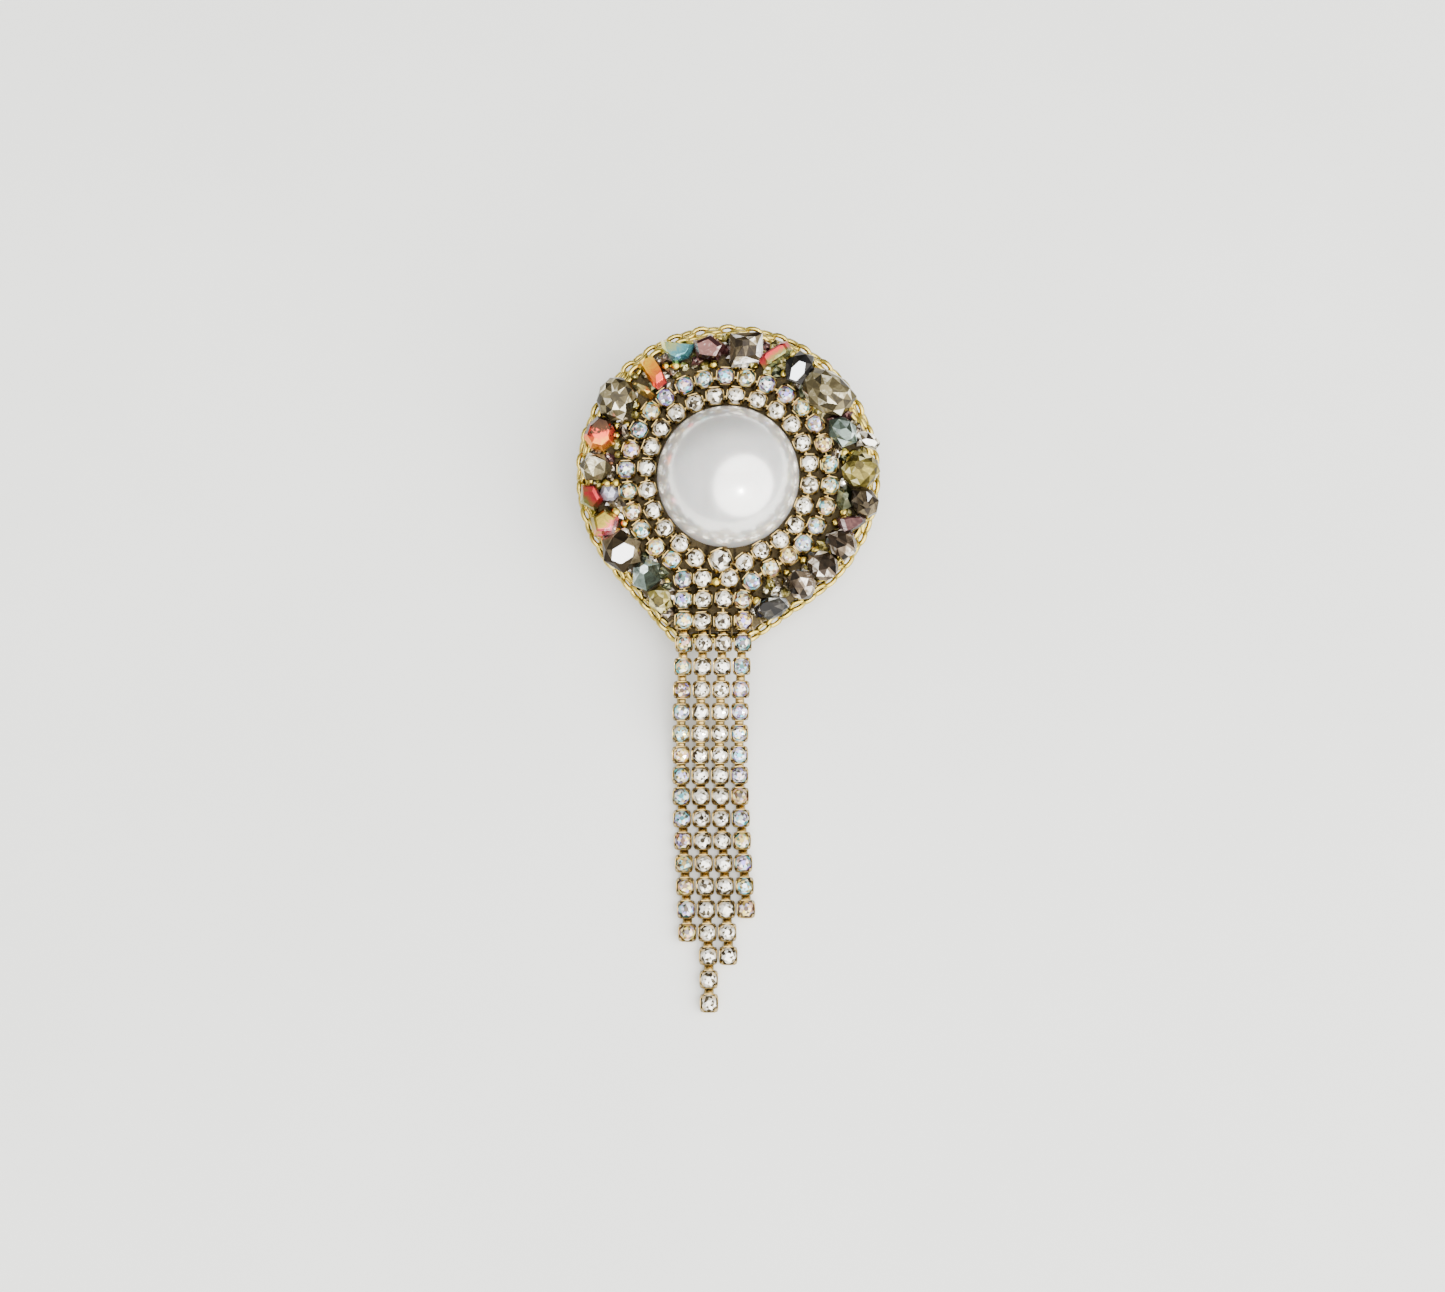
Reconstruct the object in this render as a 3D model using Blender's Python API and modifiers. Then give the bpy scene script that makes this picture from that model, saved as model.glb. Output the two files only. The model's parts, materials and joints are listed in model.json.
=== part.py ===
"""Rhinestone hair clip: a jewelled disc on an alligator clip, with a four-strand cup-chain tassel.

The clip lies on its back on a table: +Z is up and the tassel points to -Y. Everything on the
disc is laid out in the disc's own plane, which an empty then tilts, because the clip's lever
holds the far side of the disc off the table. The origin is the middle of the bottom of the
whole object's box.
"""

import math

import bmesh
import bpy
from mathutils import Matrix, Vector

MM = 0.001

# Clearances
GAP = 0.3 * MM  # between two pieces that touch
ROW_GAP = 0.35 * MM  # between two rows of cups side by side

# Centre stone
PEARL_RADIUS = 9.0 * MM
PEARL_HEIGHT = 8.2 * MM
PEARL_GIRDLE = 0.6 * MM  # straight edge under the dome

# Cup chain: square cups on a wire, each with a faceted stone
CUP_SIDE = 2.1 * MM
CUP_FOOT_SIDE = 1.7 * MM
CUP_HEIGHT = 1.5 * MM
STONE_RISE = 0.6 * MM
STONE_TABLE_SHARE = 0.55  # the stone's flat top, as a share of the cup's side
CUP_PITCH = 2.8 * MM
RING_PITCH = 2.7 * MM  # the sewn part is a little closer than the hanging part
WIRE_RADIUS = 0.3 * MM
WIRE_HEIGHT = 0.45 * MM  # the wire's middle above the foot of the cups
CLOSING_STONE_RADIUS = 1.35 * MM
CLOSING_STONE_HEIGHT = 2.4 * MM

# Tassel
TASSEL_OFFSET = -1.975 * MM  # the tassel's middle from the middle of the disc, along X
LEFT_FILLET = 6.5 * MM  # how the clear chain turns from its ring into its left leg
RIGHT_FILLET = 8.0 * MM
FIXED_END = 18.3 * MM  # how far below the disc's middle the last sewn cup is
STRAND_CUPS = (14, 17, 15, 13)
UPPER_CUPS = 4  # cups on the first and second hinged run; the third has the rest
MIDDLE_CUPS = 4
DRAPE_LENGTH = 16.0 * MM  # over which a strand comes down from the disc to the table

# Disc
MOSAIC_WIDTH = 4.75 * MM
MOSAIC_OVERHANG = 1.0 * MM  # how far the stones reach past the felt's edge
FELT_THICKNESS = 1.2 * MM
CARD_THICKNESS = 0.6 * MM
LEATHER_THICKNESS = 0.9 * MM
CHANNEL_DEPTH = 0.2 * MM  # how far the clip is pressed into the leather
TONGUE_LENGTH = 19.6 * MM  # from the disc's middle to the felt's edge under the tassel
TONGUE_CORNER = 1.0 * MM
TONGUE_MARGIN = 0.2 * MM  # felt beyond the outer strands
RIM_CHAIN_RADIUS = 0.65 * MM
OUTLINE_STEPS = 72
OUTLINE_RISE = 0.5 * MM  # the outline's middle above the pearl's, along the disc

# Alligator clip, along the disc's Y
DISC_TILT = math.radians(12)
CLIP_WIDTH = 8.5 * MM
SHEET = 0.8 * MM
EAR_SHEET = 0.7 * MM
JAW_REACH = 21.0 * MM  # from the pivot to the tip
LEVER_REACH = 10.5 * MM  # from the pivot to the finger end
PIVOT_Y = 5.0 * MM
TOOTH_HEIGHT = 1.2 * MM
TOOTH_PITCH = 1.5 * MM
TEETH = 5
PIN_RADIUS = 0.8 * MM
PIN_HEAD_RADIUS = 1.2 * MM
PIN_HEAD = 0.5 * MM
SPRING_WIRE = 0.3 * MM
SPRING_TURNS = 4
SPRING_STEPS = 10  # points on each turn
SPRING_LEG = 6.5 * MM
JAW_EAR_INSET = 0.1 * MM  # the jaw's ears stop inside the lever's lower face

# Places that follow from the sizes
ROW = CUP_SIDE + ROW_GAP
CLEAR_RING = PEARL_RADIUS + GAP + CUP_SIDE / 2
AB_RING = CLEAR_RING + ROW
MOSAIC_INNER = math.hypot(AB_RING + CUP_SIDE / 2, CUP_SIDE / 2) + GAP
FELT_RADIUS = MOSAIC_INNER + MOSAIC_WIDTH - MOSAIC_OVERHANG
CARD_TOP = -FELT_THICKNESS - GAP
LEATHER_TOP = CARD_TOP - CARD_THICKNESS - GAP
LEATHER_BOTTOM = LEATHER_TOP - LEATHER_THICKNESS
PLATE_TOP = LEATHER_BOTTOM + CHANNEL_DEPTH - GAP
PLATE_BOTTOM = PLATE_TOP - SHEET
COIL_RADIUS = PIN_RADIUS + GAP + SPRING_WIRE
PIVOT_Z = PLATE_BOTTOM - COIL_RADIUS - SPRING_WIRE - 1.5 * GAP
JAW_TOP = PLATE_BOTTOM - GAP - TOOTH_HEIGHT
JAW_BOTTOM = JAW_TOP - SHEET
TIP_Y = PIVOT_Y - JAW_REACH
STAND = -TIP_Y * math.sin(DISC_TILT) - JAW_BOTTOM * math.cos(DISC_TILT)
CHANNEL_WIDTH = CLIP_WIDTH + 2 * (PIN_HEAD + 2 * GAP)
STRAND_X = [TASSEL_OFFSET + (i - 1.5) * ROW for i in range(4)]

# The mosaic's stones lie in two runs, from the top of the disc round to the legs of the
# tassel. Each has its name, cut, start and stop along its run in percent, inner and outer
# edge across the band in percent, and height.
LEFT_RUN = (
    ("plum_chip", "chip", 1, 9.4, 10, 85, 2.6),
    ("opal_half_moon", "brick", 9.8, 18.4, 35, 95, 2.2),
    ("sunset_baton", "brick", 20, 25.5, 5, 85, 2.2),
    ("honey_sliver", "chip", 26.2, 30.3, 0, 50, 1.8),
    ("grey_boulder", "round", 31, 40, 25, 100, 3.2),
    ("coral_cushion", "round", 42, 50.4, 20, 95, 2.8),
    ("smoke_pebble", "round", 51.6, 59, 20, 90, 2.6),
    ("copper_chip", "chip", 60, 66.8, 42, 95, 2.4),
    ("lilac_bicone", "bicone", 59.9, 66.7, 0, 36, 2.2),
    ("olive_rose_chip", "chip", 67.6, 75.2, 10, 90, 2.8),
    ("mink_facet", "round", 75.9, 86, 2, 90, 3.2),
    ("teal_bicone", "bicone", 86.8, 94.2, 5, 75, 3.0),
    ("moss_chip", "chip", 94.9, 100, 50, 100, 2.2),
)
RIGHT_RUN = (
    ("ice_brick", "brick", 0.5, 8.9, 10, 80, 2.8),
    ("ruby_baton", "brick", 9.3, 16.2, 5, 95, 2.2),
    ("onyx_facet", "round", 16.6, 23.3, 8, 92, 3.0),
    ("smoke_boulder", "round", 23.7, 36.3, 0, 95, 3.6),
    ("steel_pebble", "round", 37, 44.5, 0, 60, 2.6),
    ("white_spear", "chip", 41.6, 47.2, 68, 100, 2.2),
    ("olive_pebble", "round", 48.2, 55.5, 10, 95, 3.0),
    ("pine_bicone", "bicone", 56.2, 63.2, 0, 33, 2.2),
    ("ice_pebble", "round", 56.2, 63.2, 38, 98, 3.0),
    ("mauve_crescent", "brick", 63.7, 68, 10, 90, 2.4),
    ("diamond_rondelle_1", "rondelle", 68.3, 75.3, 10, 86, 3.2),
    ("diamond_rondelle_2", "rondelle", 75.7, 82.7, 10, 86, 3.2),
    ("diamond_rondelle_3", "rondelle", 83.1, 90.1, 10, 86, 3.2),
    ("jet_round", "round", 91.9, 99.5, 45, 95, 2.6),
)

# Colour, roughness and metallic value of each finish
FINISHES = {
    "gold": ((0.83, 0.66, 0.36), 0.28, 1.0),
    "steel": ((0.62, 0.62, 0.63), 0.3, 1.0),
    "pearl": ((0.93, 0.92, 0.9), 0.12, 0.0),
    "felt": ((0.45, 0.31, 0.12), 0.9, 0.0),
    "card": ((0.8, 0.77, 0.7), 0.9, 0.0),
    "leather": ((0.68, 0.58, 0.44), 0.6, 0.0),
    "clear_stones": ((0.86, 0.85, 0.82), 0.15, 0.4),
    "rainbow_stones": ((0.82, 0.78, 0.72), 0.15, 0.4),
    "crystal": ((0.5, 0.48, 0.42), 0.1, 0.1),
}


def clear_scene():
    for obj in list(bpy.data.objects):
        bpy.data.objects.remove(obj)


def make_collections():
    """The collection of the clip's pieces, and one for the shapes that cut or join them."""
    pieces = bpy.data.collections.new("rhinestone_hair_clip")
    tools = bpy.data.collections.new("joining_shapes")
    bpy.context.scene.collection.children.link(pieces)
    bpy.context.scene.collection.children.link(tools)
    return pieces, tools


def set_material(obj, finish):
    colour, roughness, metallic = FINISHES[finish]
    material = bpy.data.materials.new(obj.name)
    material.use_nodes = True
    shader = material.node_tree.nodes["Principled BSDF"]
    shader.inputs["Base Color"].default_value = (*colour, 1)
    shader.inputs["Roughness"].default_value = roughness
    shader.inputs["Metallic"].default_value = metallic
    obj.data.materials.clear()
    obj.data.materials.append(material)


def add_empty(name, place, parent=None):
    """An empty at a world matrix, which carries the pieces that move together."""
    empty = bpy.data.objects.new(name, None)
    empty.empty_display_size = 3 * MM
    PIECES.objects.link(empty)
    empty.parent = parent
    empty.matrix_world = place
    bpy.context.view_layer.update()
    return empty


def add_piece(name, mesh, finish, parent, place=None):
    """A named piece with its own material. The place is in the frame of its parent empty."""
    obj = bpy.data.objects.new(name, mesh)
    PIECES.objects.link(obj)
    obj.parent = parent
    obj.matrix_local = place or Matrix()
    set_material(obj, finish)
    return obj


def add_tool(name, mesh, parent, place=None):
    """A shape that a Boolean joins to a piece or cuts out of it."""
    obj = bpy.data.objects.new(name, mesh)
    TOOLS.objects.link(obj)
    obj.parent = parent
    obj.matrix_local = place or Matrix()
    obj.hide_render = True
    obj.display_type = "WIRE"
    return obj


def combine(piece, tool, operation):
    modifier = piece.modifiers.new(f"{operation.lower()}_{tool.name}", "BOOLEAN")
    modifier.operation = operation
    modifier.solver = "EXACT"
    modifier.use_self = True
    modifier.object = tool


def mesh_from(build, name, smooth_angle=None):
    """A mesh that the function build fills in through bmesh."""
    bm = bmesh.new()
    build(bm)
    bmesh.ops.recalc_face_normals(bm, faces=bm.faces)
    mesh = bpy.data.meshes.new(name)
    bm.to_mesh(mesh)
    bm.free()
    if smooth_angle is not None:
        mesh.shade_smooth()
        mesh.set_sharp_from_angle(angle=smooth_angle)
    return mesh


def curve_to_mesh(curve):
    """The closed mesh of a curve, with its caps welded on."""
    guide = bpy.data.objects.new("guide", curve)
    bpy.context.scene.collection.objects.link(guide)
    seen = guide.evaluated_get(bpy.context.evaluated_depsgraph_get())
    mesh = bpy.data.meshes.new_from_object(seen)
    bpy.data.objects.remove(guide)
    bm = bmesh.new()
    bm.from_mesh(mesh)
    bmesh.ops.remove_doubles(bm, verts=bm.verts, dist=0.001 * MM)
    bmesh.ops.recalc_face_normals(bm, faces=bm.faces)
    bm.to_mesh(mesh)
    bm.free()
    return mesh


def plate_mesh(outline, thickness):
    """A flat plate: a closed outline in X and Y, filled, and as thick in Z about zero."""
    curve = bpy.data.curves.new("plate", "CURVE")
    curve.dimensions = "2D"
    curve.fill_mode = "BOTH"
    curve.extrude = thickness / 2
    spline = curve.splines.new("POLY")
    spline.points.add(len(outline) - 1)
    for point, (x, y) in zip(spline.points, outline):
        point.co = (x, y, 0, 1)
    spline.use_cyclic_u = True
    return curve_to_mesh(curve)


def wire_mesh(points, radius, closed=False, resolution=2):
    """A round wire through the points."""
    curve = bpy.data.curves.new("wire", "CURVE")
    curve.dimensions = "3D"
    curve.bevel_depth = radius
    curve.bevel_resolution = resolution
    curve.use_fill_caps = not closed
    spline = curve.splines.new("POLY")
    spline.points.add(len(points) - 1)
    for point, place in zip(spline.points, points):
        point.co = (*place, 1)
    spline.use_cyclic_u = closed
    return curve_to_mesh(curve)


def side_plate_mesh(outline, width):
    """A plate whose outline is in Y and Z and whose thickness is along X."""
    mesh = plate_mesh(outline, width)
    mesh.transform(Matrix(((0, 0, 1, 0), (1, 0, 0, 0), (0, 1, 0, 0), (0, 0, 0, 1))))
    return mesh


def turned(name, profile, steps, finish, parent, place):
    """A profile of radius and height, from the top down, turned round Z."""
    mesh = bpy.data.meshes.new(name)
    points = [(radius, 0, height) for radius, height in profile]
    mesh.from_pydata(points, [(i, i + 1) for i in range(len(points) - 1)], [])
    obj = add_piece(name, mesh, finish, parent, place)
    screw = obj.modifiers.new("turn", "SCREW")
    screw.axis = "Z"
    screw.steps = steps
    screw.render_steps = steps
    screw.use_merge_vertices = True
    screw.merge_threshold = 0.001 * MM
    screw.use_smooth_shade = True
    return obj


def arc(centre, radius, start, stop, step=math.radians(2)):
    """Points along an arc in the plane, both ends included."""
    count = max(2, math.ceil(abs(stop - start) / step))
    angles = (start + (stop - start) * i / count for i in range(count + 1))
    return [Vector(centre) + radius * Vector((math.cos(a), math.sin(a))) for a in angles]


def spaced(path, pitch):
    """Points and headings at even steps of about the pitch along a path, both ends included."""
    lengths = [(b - a).length for a, b in zip(path, path[1:])]
    total = sum(lengths)
    count = round(total / pitch)
    return [at_length(path, lengths, total * i / count) for i in range(count + 1)]


def at_length(path, lengths, distance):
    """The point at a distance along a path, and the way the path heads there."""
    for a, b, length in zip(path, path[1:], lengths):
        if distance <= length:
            return a.lerp(b, distance / length), (b - a).normalized()
        distance -= length
    return path[-1].copy(), (path[-1] - path[-2]).normalized()


def chain_path(radius, left_x, right_x, left_fillet, right_fillet):
    """A ring with two legs: up the left leg, over the ring clockwise, and down the right leg.

    Each leg is a straight line at its x, and an arc of the fillet's radius, whose centre is a
    fillet beside the leg and a fillet outside the ring, joins it to the ring.
    """
    left = Vector((left_x - left_fillet, 0))
    right = Vector((right_x + right_fillet, 0))
    left.y = -math.sqrt((radius + left_fillet) ** 2 - left.x**2)
    right.y = -math.sqrt((radius + right_fillet) ** 2 - right.x**2)
    from_left = math.atan2(-left.y, -left.x)
    from_right = math.atan2(-right.y, -right.x)
    path = [Vector((left_x, -FIXED_END))]
    path += arc(left, left_fillet, 0, from_left)
    path += arc((0, 0), radius, from_left + math.pi, from_right - math.pi)[1:]
    path += arc(right, right_fillet, from_right, math.pi)[1:]
    path.append(Vector((right_x, -FIXED_END)))
    return path


def add_cup(bm, place):
    """One cup: a square foot that widens to the rim, and the stone's bevelled top above it."""
    corner = math.sqrt(0.5)
    turn = Matrix.Rotation(math.radians(45), 4, "Z")
    middle = Matrix.Translation((0, 0, CUP_HEIGHT / 2))
    made = bmesh.ops.create_cone(
        bm,
        cap_ends=True,
        segments=4,
        radius1=CUP_FOOT_SIDE * corner,
        radius2=CUP_SIDE * corner,
        depth=CUP_HEIGHT,
        matrix=place @ middle @ turn,
    )
    up = (place.to_3x3() @ Vector((0, 0, 1))).normalized()
    faces = {face for vert in made["verts"] for face in vert.link_faces}
    top = max(faces, key=lambda face: face.calc_center_median().dot(up))
    crown = bmesh.ops.extrude_discrete_faces(bm, faces=[top])["faces"][0]
    to_local = place.inverted()
    size = (STONE_TABLE_SHARE, STONE_TABLE_SHARE, 1)
    bmesh.ops.scale(bm, vec=size, space=to_local, verts=crown.verts)
    bmesh.ops.translate(bm, vec=up * STONE_RISE, verts=crown.verts)


def add_chain(name, places, finish, parent):
    """Cups at the given places in the parent's frame, joined by a wire through their feet."""

    def cups(bm):
        for place in places:
            add_cup(bm, place)

    if len(places) == 1:
        return add_piece(name, mesh_from(cups, name), finish, parent)
    points = [place @ Vector((0, 0, WIRE_HEIGHT)) for place in places]
    wire = add_piece(name, wire_mesh(points, WIRE_RADIUS, resolution=0), finish, parent)
    combine(wire, add_tool(f"{name}_cups", mesh_from(cups, name), parent), "UNION")
    return wire


def ring_chain(name, rows_out, finish, disc):
    """A chain round the pearl, so many rows out from the first, down to the disc's edge."""
    path = chain_path(
        CLEAR_RING + rows_out * ROW,
        STRAND_X[1] - rows_out * ROW,
        STRAND_X[2] + rows_out * ROW,
        LEFT_FILLET - rows_out * ROW,
        RIGHT_FILLET - rows_out * ROW,
    )
    places = []
    for point, heading in spaced(path, RING_PITCH):
        turn = Matrix.Rotation(math.atan2(heading.y, heading.x), 4, "Z")
        places.append(Matrix.Translation((*point, GAP)) @ turn)
    add_chain(name, places, finish, disc)


def disc_outline(grow):
    """The disc's outline: the tight outline round a circle and the two corners of the tongue.

    In every direction the circle that reaches furthest gives the point.
    """
    half = 1.5 * ROW + CUP_SIDE / 2 + TONGUE_MARGIN - TONGUE_CORNER
    corner_y = -TONGUE_LENGTH + TONGUE_CORNER
    circles = [
        (Vector((0, OUTLINE_RISE)), FELT_RADIUS),
        (Vector((TASSEL_OFFSET - half, corner_y)), TONGUE_CORNER),
        (Vector((TASSEL_OFFSET + half, corner_y)), TONGUE_CORNER),
    ]
    outline = []
    for i in range(OUTLINE_STEPS):
        angle = 2 * math.pi * i / OUTLINE_STEPS
        out = Vector((math.cos(angle), math.sin(angle)))
        centre, radius = max(circles, key=lambda circle: circle[0].dot(out) + circle[1])
        outline.append(centre + out * (radius + grow))
    return outline


def add_layer(name, top, thickness, finish, disc):
    mesh = plate_mesh(disc_outline(0), thickness)
    return add_piece(name, mesh, finish, disc, Matrix.Translation((0, 0, top - thickness / 2)))


def add_leather(disc):
    """The leather back, with a shallow channel down its middle where the clip is pressed in."""
    leather = add_layer("leather_backing", LEATHER_TOP, LEATHER_THICKNESS, "leather", disc)
    size = Matrix.Diagonal((CHANNEL_WIDTH, 4 * FELT_RADIUS, 2 * CHANNEL_DEPTH, 1))

    def channel(bm):
        bmesh.ops.create_cube(bm, size=1, matrix=size)

    mesh = mesh_from(channel, "clip_channel")
    tool = add_tool("clip_channel", mesh, disc, Matrix.Translation((0, 0, LEATHER_BOTTOM)))
    combine(leather, tool, "DIFFERENCE")


def add_rim_chain(disc):
    """The fine chain sewn round the edge, as one closed round cord of its outer size."""
    outline = disc_outline(GAP + RIM_CHAIN_RADIUS)
    points = [(x, y, -RIM_CHAIN_RADIUS) for x, y in outline]
    add_piece("rim_chain", wire_mesh(points, RIM_CHAIN_RADIUS, closed=True), "gold", disc)


def add_pearl(disc):
    """A flat-backed pearl: a quarter ellipse over a short straight girdle, turned."""
    steps = 10
    dome = PEARL_HEIGHT - PEARL_GIRDLE
    angles = [math.pi / 2 * (1 - i / steps) for i in range(steps + 1)]
    profile = [(PEARL_RADIUS * math.cos(a), PEARL_GIRDLE + dome * math.sin(a)) for a in angles]
    profile[0] = (0, PEARL_HEIGHT)
    profile += [(PEARL_RADIUS, 0), (0, 0)]
    turned("pearl_cabochon", profile, 36, "pearl", disc, Matrix.Translation((0, 0, GAP)))


def add_closing_stone(disc):
    """The larger stone that closes the clear ring, where its ends turn down."""
    radius = CLOSING_STONE_RADIUS
    girdle = CLOSING_STONE_HEIGHT - STONE_RISE
    profile = [
        (0, CLOSING_STONE_HEIGHT),
        (radius * STONE_TABLE_SHARE, CLOSING_STONE_HEIGHT),
        (radius, girdle),
        (radius, 0),
        (0, 0),
    ]
    between = (STRAND_X[1] + STRAND_X[2]) / 4
    place = Matrix.Translation((between, -PEARL_RADIUS - GAP - radius, GAP))
    turned("closing_stone", profile, 8, "clear_stones", disc, place)


def jewel_mesh(cut, size, name):
    """A faceted stone of the size given, standing on z = 0."""
    middle = Matrix.Translation((0, 0, size[2] / 2))
    ball = middle @ Matrix.Diagonal((size[0] / 2, size[1] / 2, size[2] / 2, 1))

    def build(bm):
        if cut == "brick":
            bmesh.ops.create_cube(bm, size=2, matrix=ball)
            corners = min(size) / 5
            bmesh.ops.bevel(bm, geom=bm.edges[:], offset=corners, segments=1, affect="EDGES")
        elif cut == "chip":
            bmesh.ops.create_icosphere(bm, subdivisions=1, radius=1, matrix=ball)
        else:
            u, v = {"round": (8, 4), "bicone": (6, 2), "rondelle": (10, 4)}[cut]
            bmesh.ops.create_uvsphere(bm, u_segments=u, v_segments=v, radius=1, matrix=ball)

    return mesh_from(build, name)


def add_run(run, side, leg_edge, disc):
    """The stones on one side, each as large as its cell of the band, less the gap."""
    middle = MOSAIC_INNER + MOSAIC_WIDTH / 2
    sweep = math.pi - math.asin((leg_edge + GAP) / middle)
    for name, cut, start, stop, inner, outer, height in run:
        near = MOSAIC_INNER + MOSAIC_WIDTH * inner / 100
        deep = MOSAIC_WIDTH * (outer - inner) / 100 - GAP
        span = sweep * (stop - start) / 100
        widest = near if cut == "brick" else near + deep / 2
        wide = 2 * widest * math.tan(span / 2) - GAP
        bearing = side * sweep * (start + stop) / 200
        turn = Matrix.Rotation(-bearing, 4, "Z")
        place = turn @ Matrix.Translation((0, near + (deep + GAP) / 2, GAP))
        mesh = jewel_mesh(cut, (wide, deep, height * MM), name)
        add_piece(name, mesh, "crystal", disc, place)


def add_mosaic(disc):
    half = 1.5 * ROW + CUP_SIDE / 2
    add_run(LEFT_RUN, -1, half - TASSEL_OFFSET, disc)
    add_run(RIGHT_RUN, 1, half + TASSEL_OFFSET, disc)


def pivot_place():
    return Matrix.Translation((0, PIVOT_Y, PIVOT_Z))


def pin_hole(name, parent, place):
    """A cutter for the hole that the pin goes through."""

    def build(bm):
        radius = PIN_RADIUS + GAP
        along = Matrix.Rotation(math.pi / 2, 4, "Y")
        bmesh.ops.create_cone(
            bm,
            cap_ends=True,
            segments=16,
            radius1=radius,
            radius2=radius,
            depth=2 * CLIP_WIDTH,
            matrix=along,
        )

    return add_tool(name, mesh_from(build, name), parent, place)


def add_clip_plate(disc):
    """The flat upper sheet under the disc, with an ear down each side at the pivot."""
    length = JAW_REACH + LEVER_REACH
    middle_y = PIVOT_Y + (LEVER_REACH - JAW_REACH) / 2

    def sheet(bm):
        size = Matrix.Diagonal((CLIP_WIDTH, length, SHEET, 1))
        bmesh.ops.create_cube(bm, size=1, matrix=size)
        upright = [e for e in bm.edges if abs(e.verts[0].co.z - e.verts[1].co.z) > SHEET / 2]
        bmesh.ops.bevel(bm, geom=upright, offset=CLIP_WIDTH / 4, segments=3, affect="EDGES")

    place = Matrix.Translation((0, middle_y, (PLATE_TOP + PLATE_BOTTOM) / 2))
    plate = add_piece("clip_plate", mesh_from(sheet, "clip_plate"), "steel", disc, place)
    rise = PLATE_BOTTOM - PIVOT_Z
    reach = PIN_RADIUS + GAP + SHEET
    ear = [(-reach, rise + SHEET / 2), (-reach, -reach / 2), (-reach / 2, -reach)]
    ear += [(reach / 2, -reach), (reach, -reach / 2), (reach, rise + SHEET / 2)]
    for side in (-1, 1):
        x = side * (CLIP_WIDTH - EAR_SHEET) / 2
        at = Matrix.Translation((x, 0, 0)) @ pivot_place()
        tool = add_tool(f"plate_ear_{side}", side_plate_mesh(ear, EAR_SHEET), disc, at)
        combine(plate, tool, "UNION")
    combine(plate, pin_hole("plate_pin_hole", disc, pivot_place()), "DIFFERENCE")


def jaw_outline():
    """The jaw's side view about the pivot: a flat strip with teeth on top near its tip."""
    top = JAW_TOP - PIVOT_Z
    back = -COIL_RADIUS - SPRING_WIRE - GAP
    outline = [(back, top - SHEET), (back, top)]
    last = -JAW_REACH + TEETH * TOOTH_PITCH
    for i in range(TEETH):
        start = last - i * TOOTH_PITCH
        outline += [(start, top), (start - TOOTH_PITCH / 2, top + TOOTH_HEIGHT)]
    return outline + [(-JAW_REACH, top), (-JAW_REACH, top - SHEET)]


def lever_outline():
    """The lever's side view about the pivot: a strip that clears the spring and whose end
    meets the table.
    """
    end_y = PIVOT_Y + LEVER_REACH
    end_z = -(STAND + end_y * math.sin(DISC_TILT)) / math.cos(DISC_TILT) - PIVOT_Z
    end = Vector((LEVER_REACH, end_z))
    offset = COIL_RADIUS + SPRING_WIRE + GAP + SHEET
    slope = math.atan2(end_z, LEVER_REACH) + math.asin(offset / end.length)
    along = Vector((math.cos(slope), math.sin(slope)))
    up = Vector((-along.y, along.x))
    start = end + along * (offset / 2 - math.sqrt(end.length**2 - offset**2))
    return [start, end, end + up * SHEET, start + up * SHEET]


def add_clip_jaw(jaw):
    """The lower jaw: a toothed strip and a lever, joined by an ear each side of the spring."""
    width = CLIP_WIDTH - 2 * (EAR_SHEET + GAP)
    body = add_piece("clip_jaw", side_plate_mesh(jaw_outline(), width), "steel", jaw)
    lever = lever_outline()
    combine(body, add_tool("lever_strip", side_plate_mesh(lever, width), jaw), "UNION")
    front = -COIL_RADIUS - SPRING_WIRE - 2 * GAP - SHEET
    top = JAW_TOP - PIVOT_Z + GAP
    low = lever[0].y + JAW_EAR_INSET
    ear = [(front, top - 2 * SHEET), (front, top), (0, PIN_RADIUS + GAP + SHEET / 2)]
    ear += [(PIN_RADIUS + SHEET, PIN_RADIUS), (-front, low + 2 * SHEET), (-front, low), (0, low)]
    for side in (-1, 1):
        at = Matrix.Translation((side * (width - EAR_SHEET) / 2, 0, 0))
        mesh = side_plate_mesh(ear, EAR_SHEET)
        combine(body, add_tool(f"jaw_ear_{side}", mesh, jaw, at), "UNION")
    combine(body, pin_hole("jaw_pin_hole", jaw, Matrix()), "DIFFERENCE")


def add_pin(disc):
    """The pivot pin: a shaft between two heads outside the plate's ears."""
    half = CLIP_WIDTH / 2 + GAP
    profile = [(0, half + PIN_HEAD), (PIN_HEAD_RADIUS, half + PIN_HEAD), (PIN_HEAD_RADIUS, half)]
    profile += [(PIN_RADIUS, half), (PIN_RADIUS, -half), (PIN_HEAD_RADIUS, -half)]
    profile += [(PIN_HEAD_RADIUS, -half - PIN_HEAD), (0, -half - PIN_HEAD)]
    place = pivot_place() @ Matrix.Rotation(math.pi / 2, 4, "Y")
    turned("pivot_pin", profile, 16, "steel", disc, place)


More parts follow.
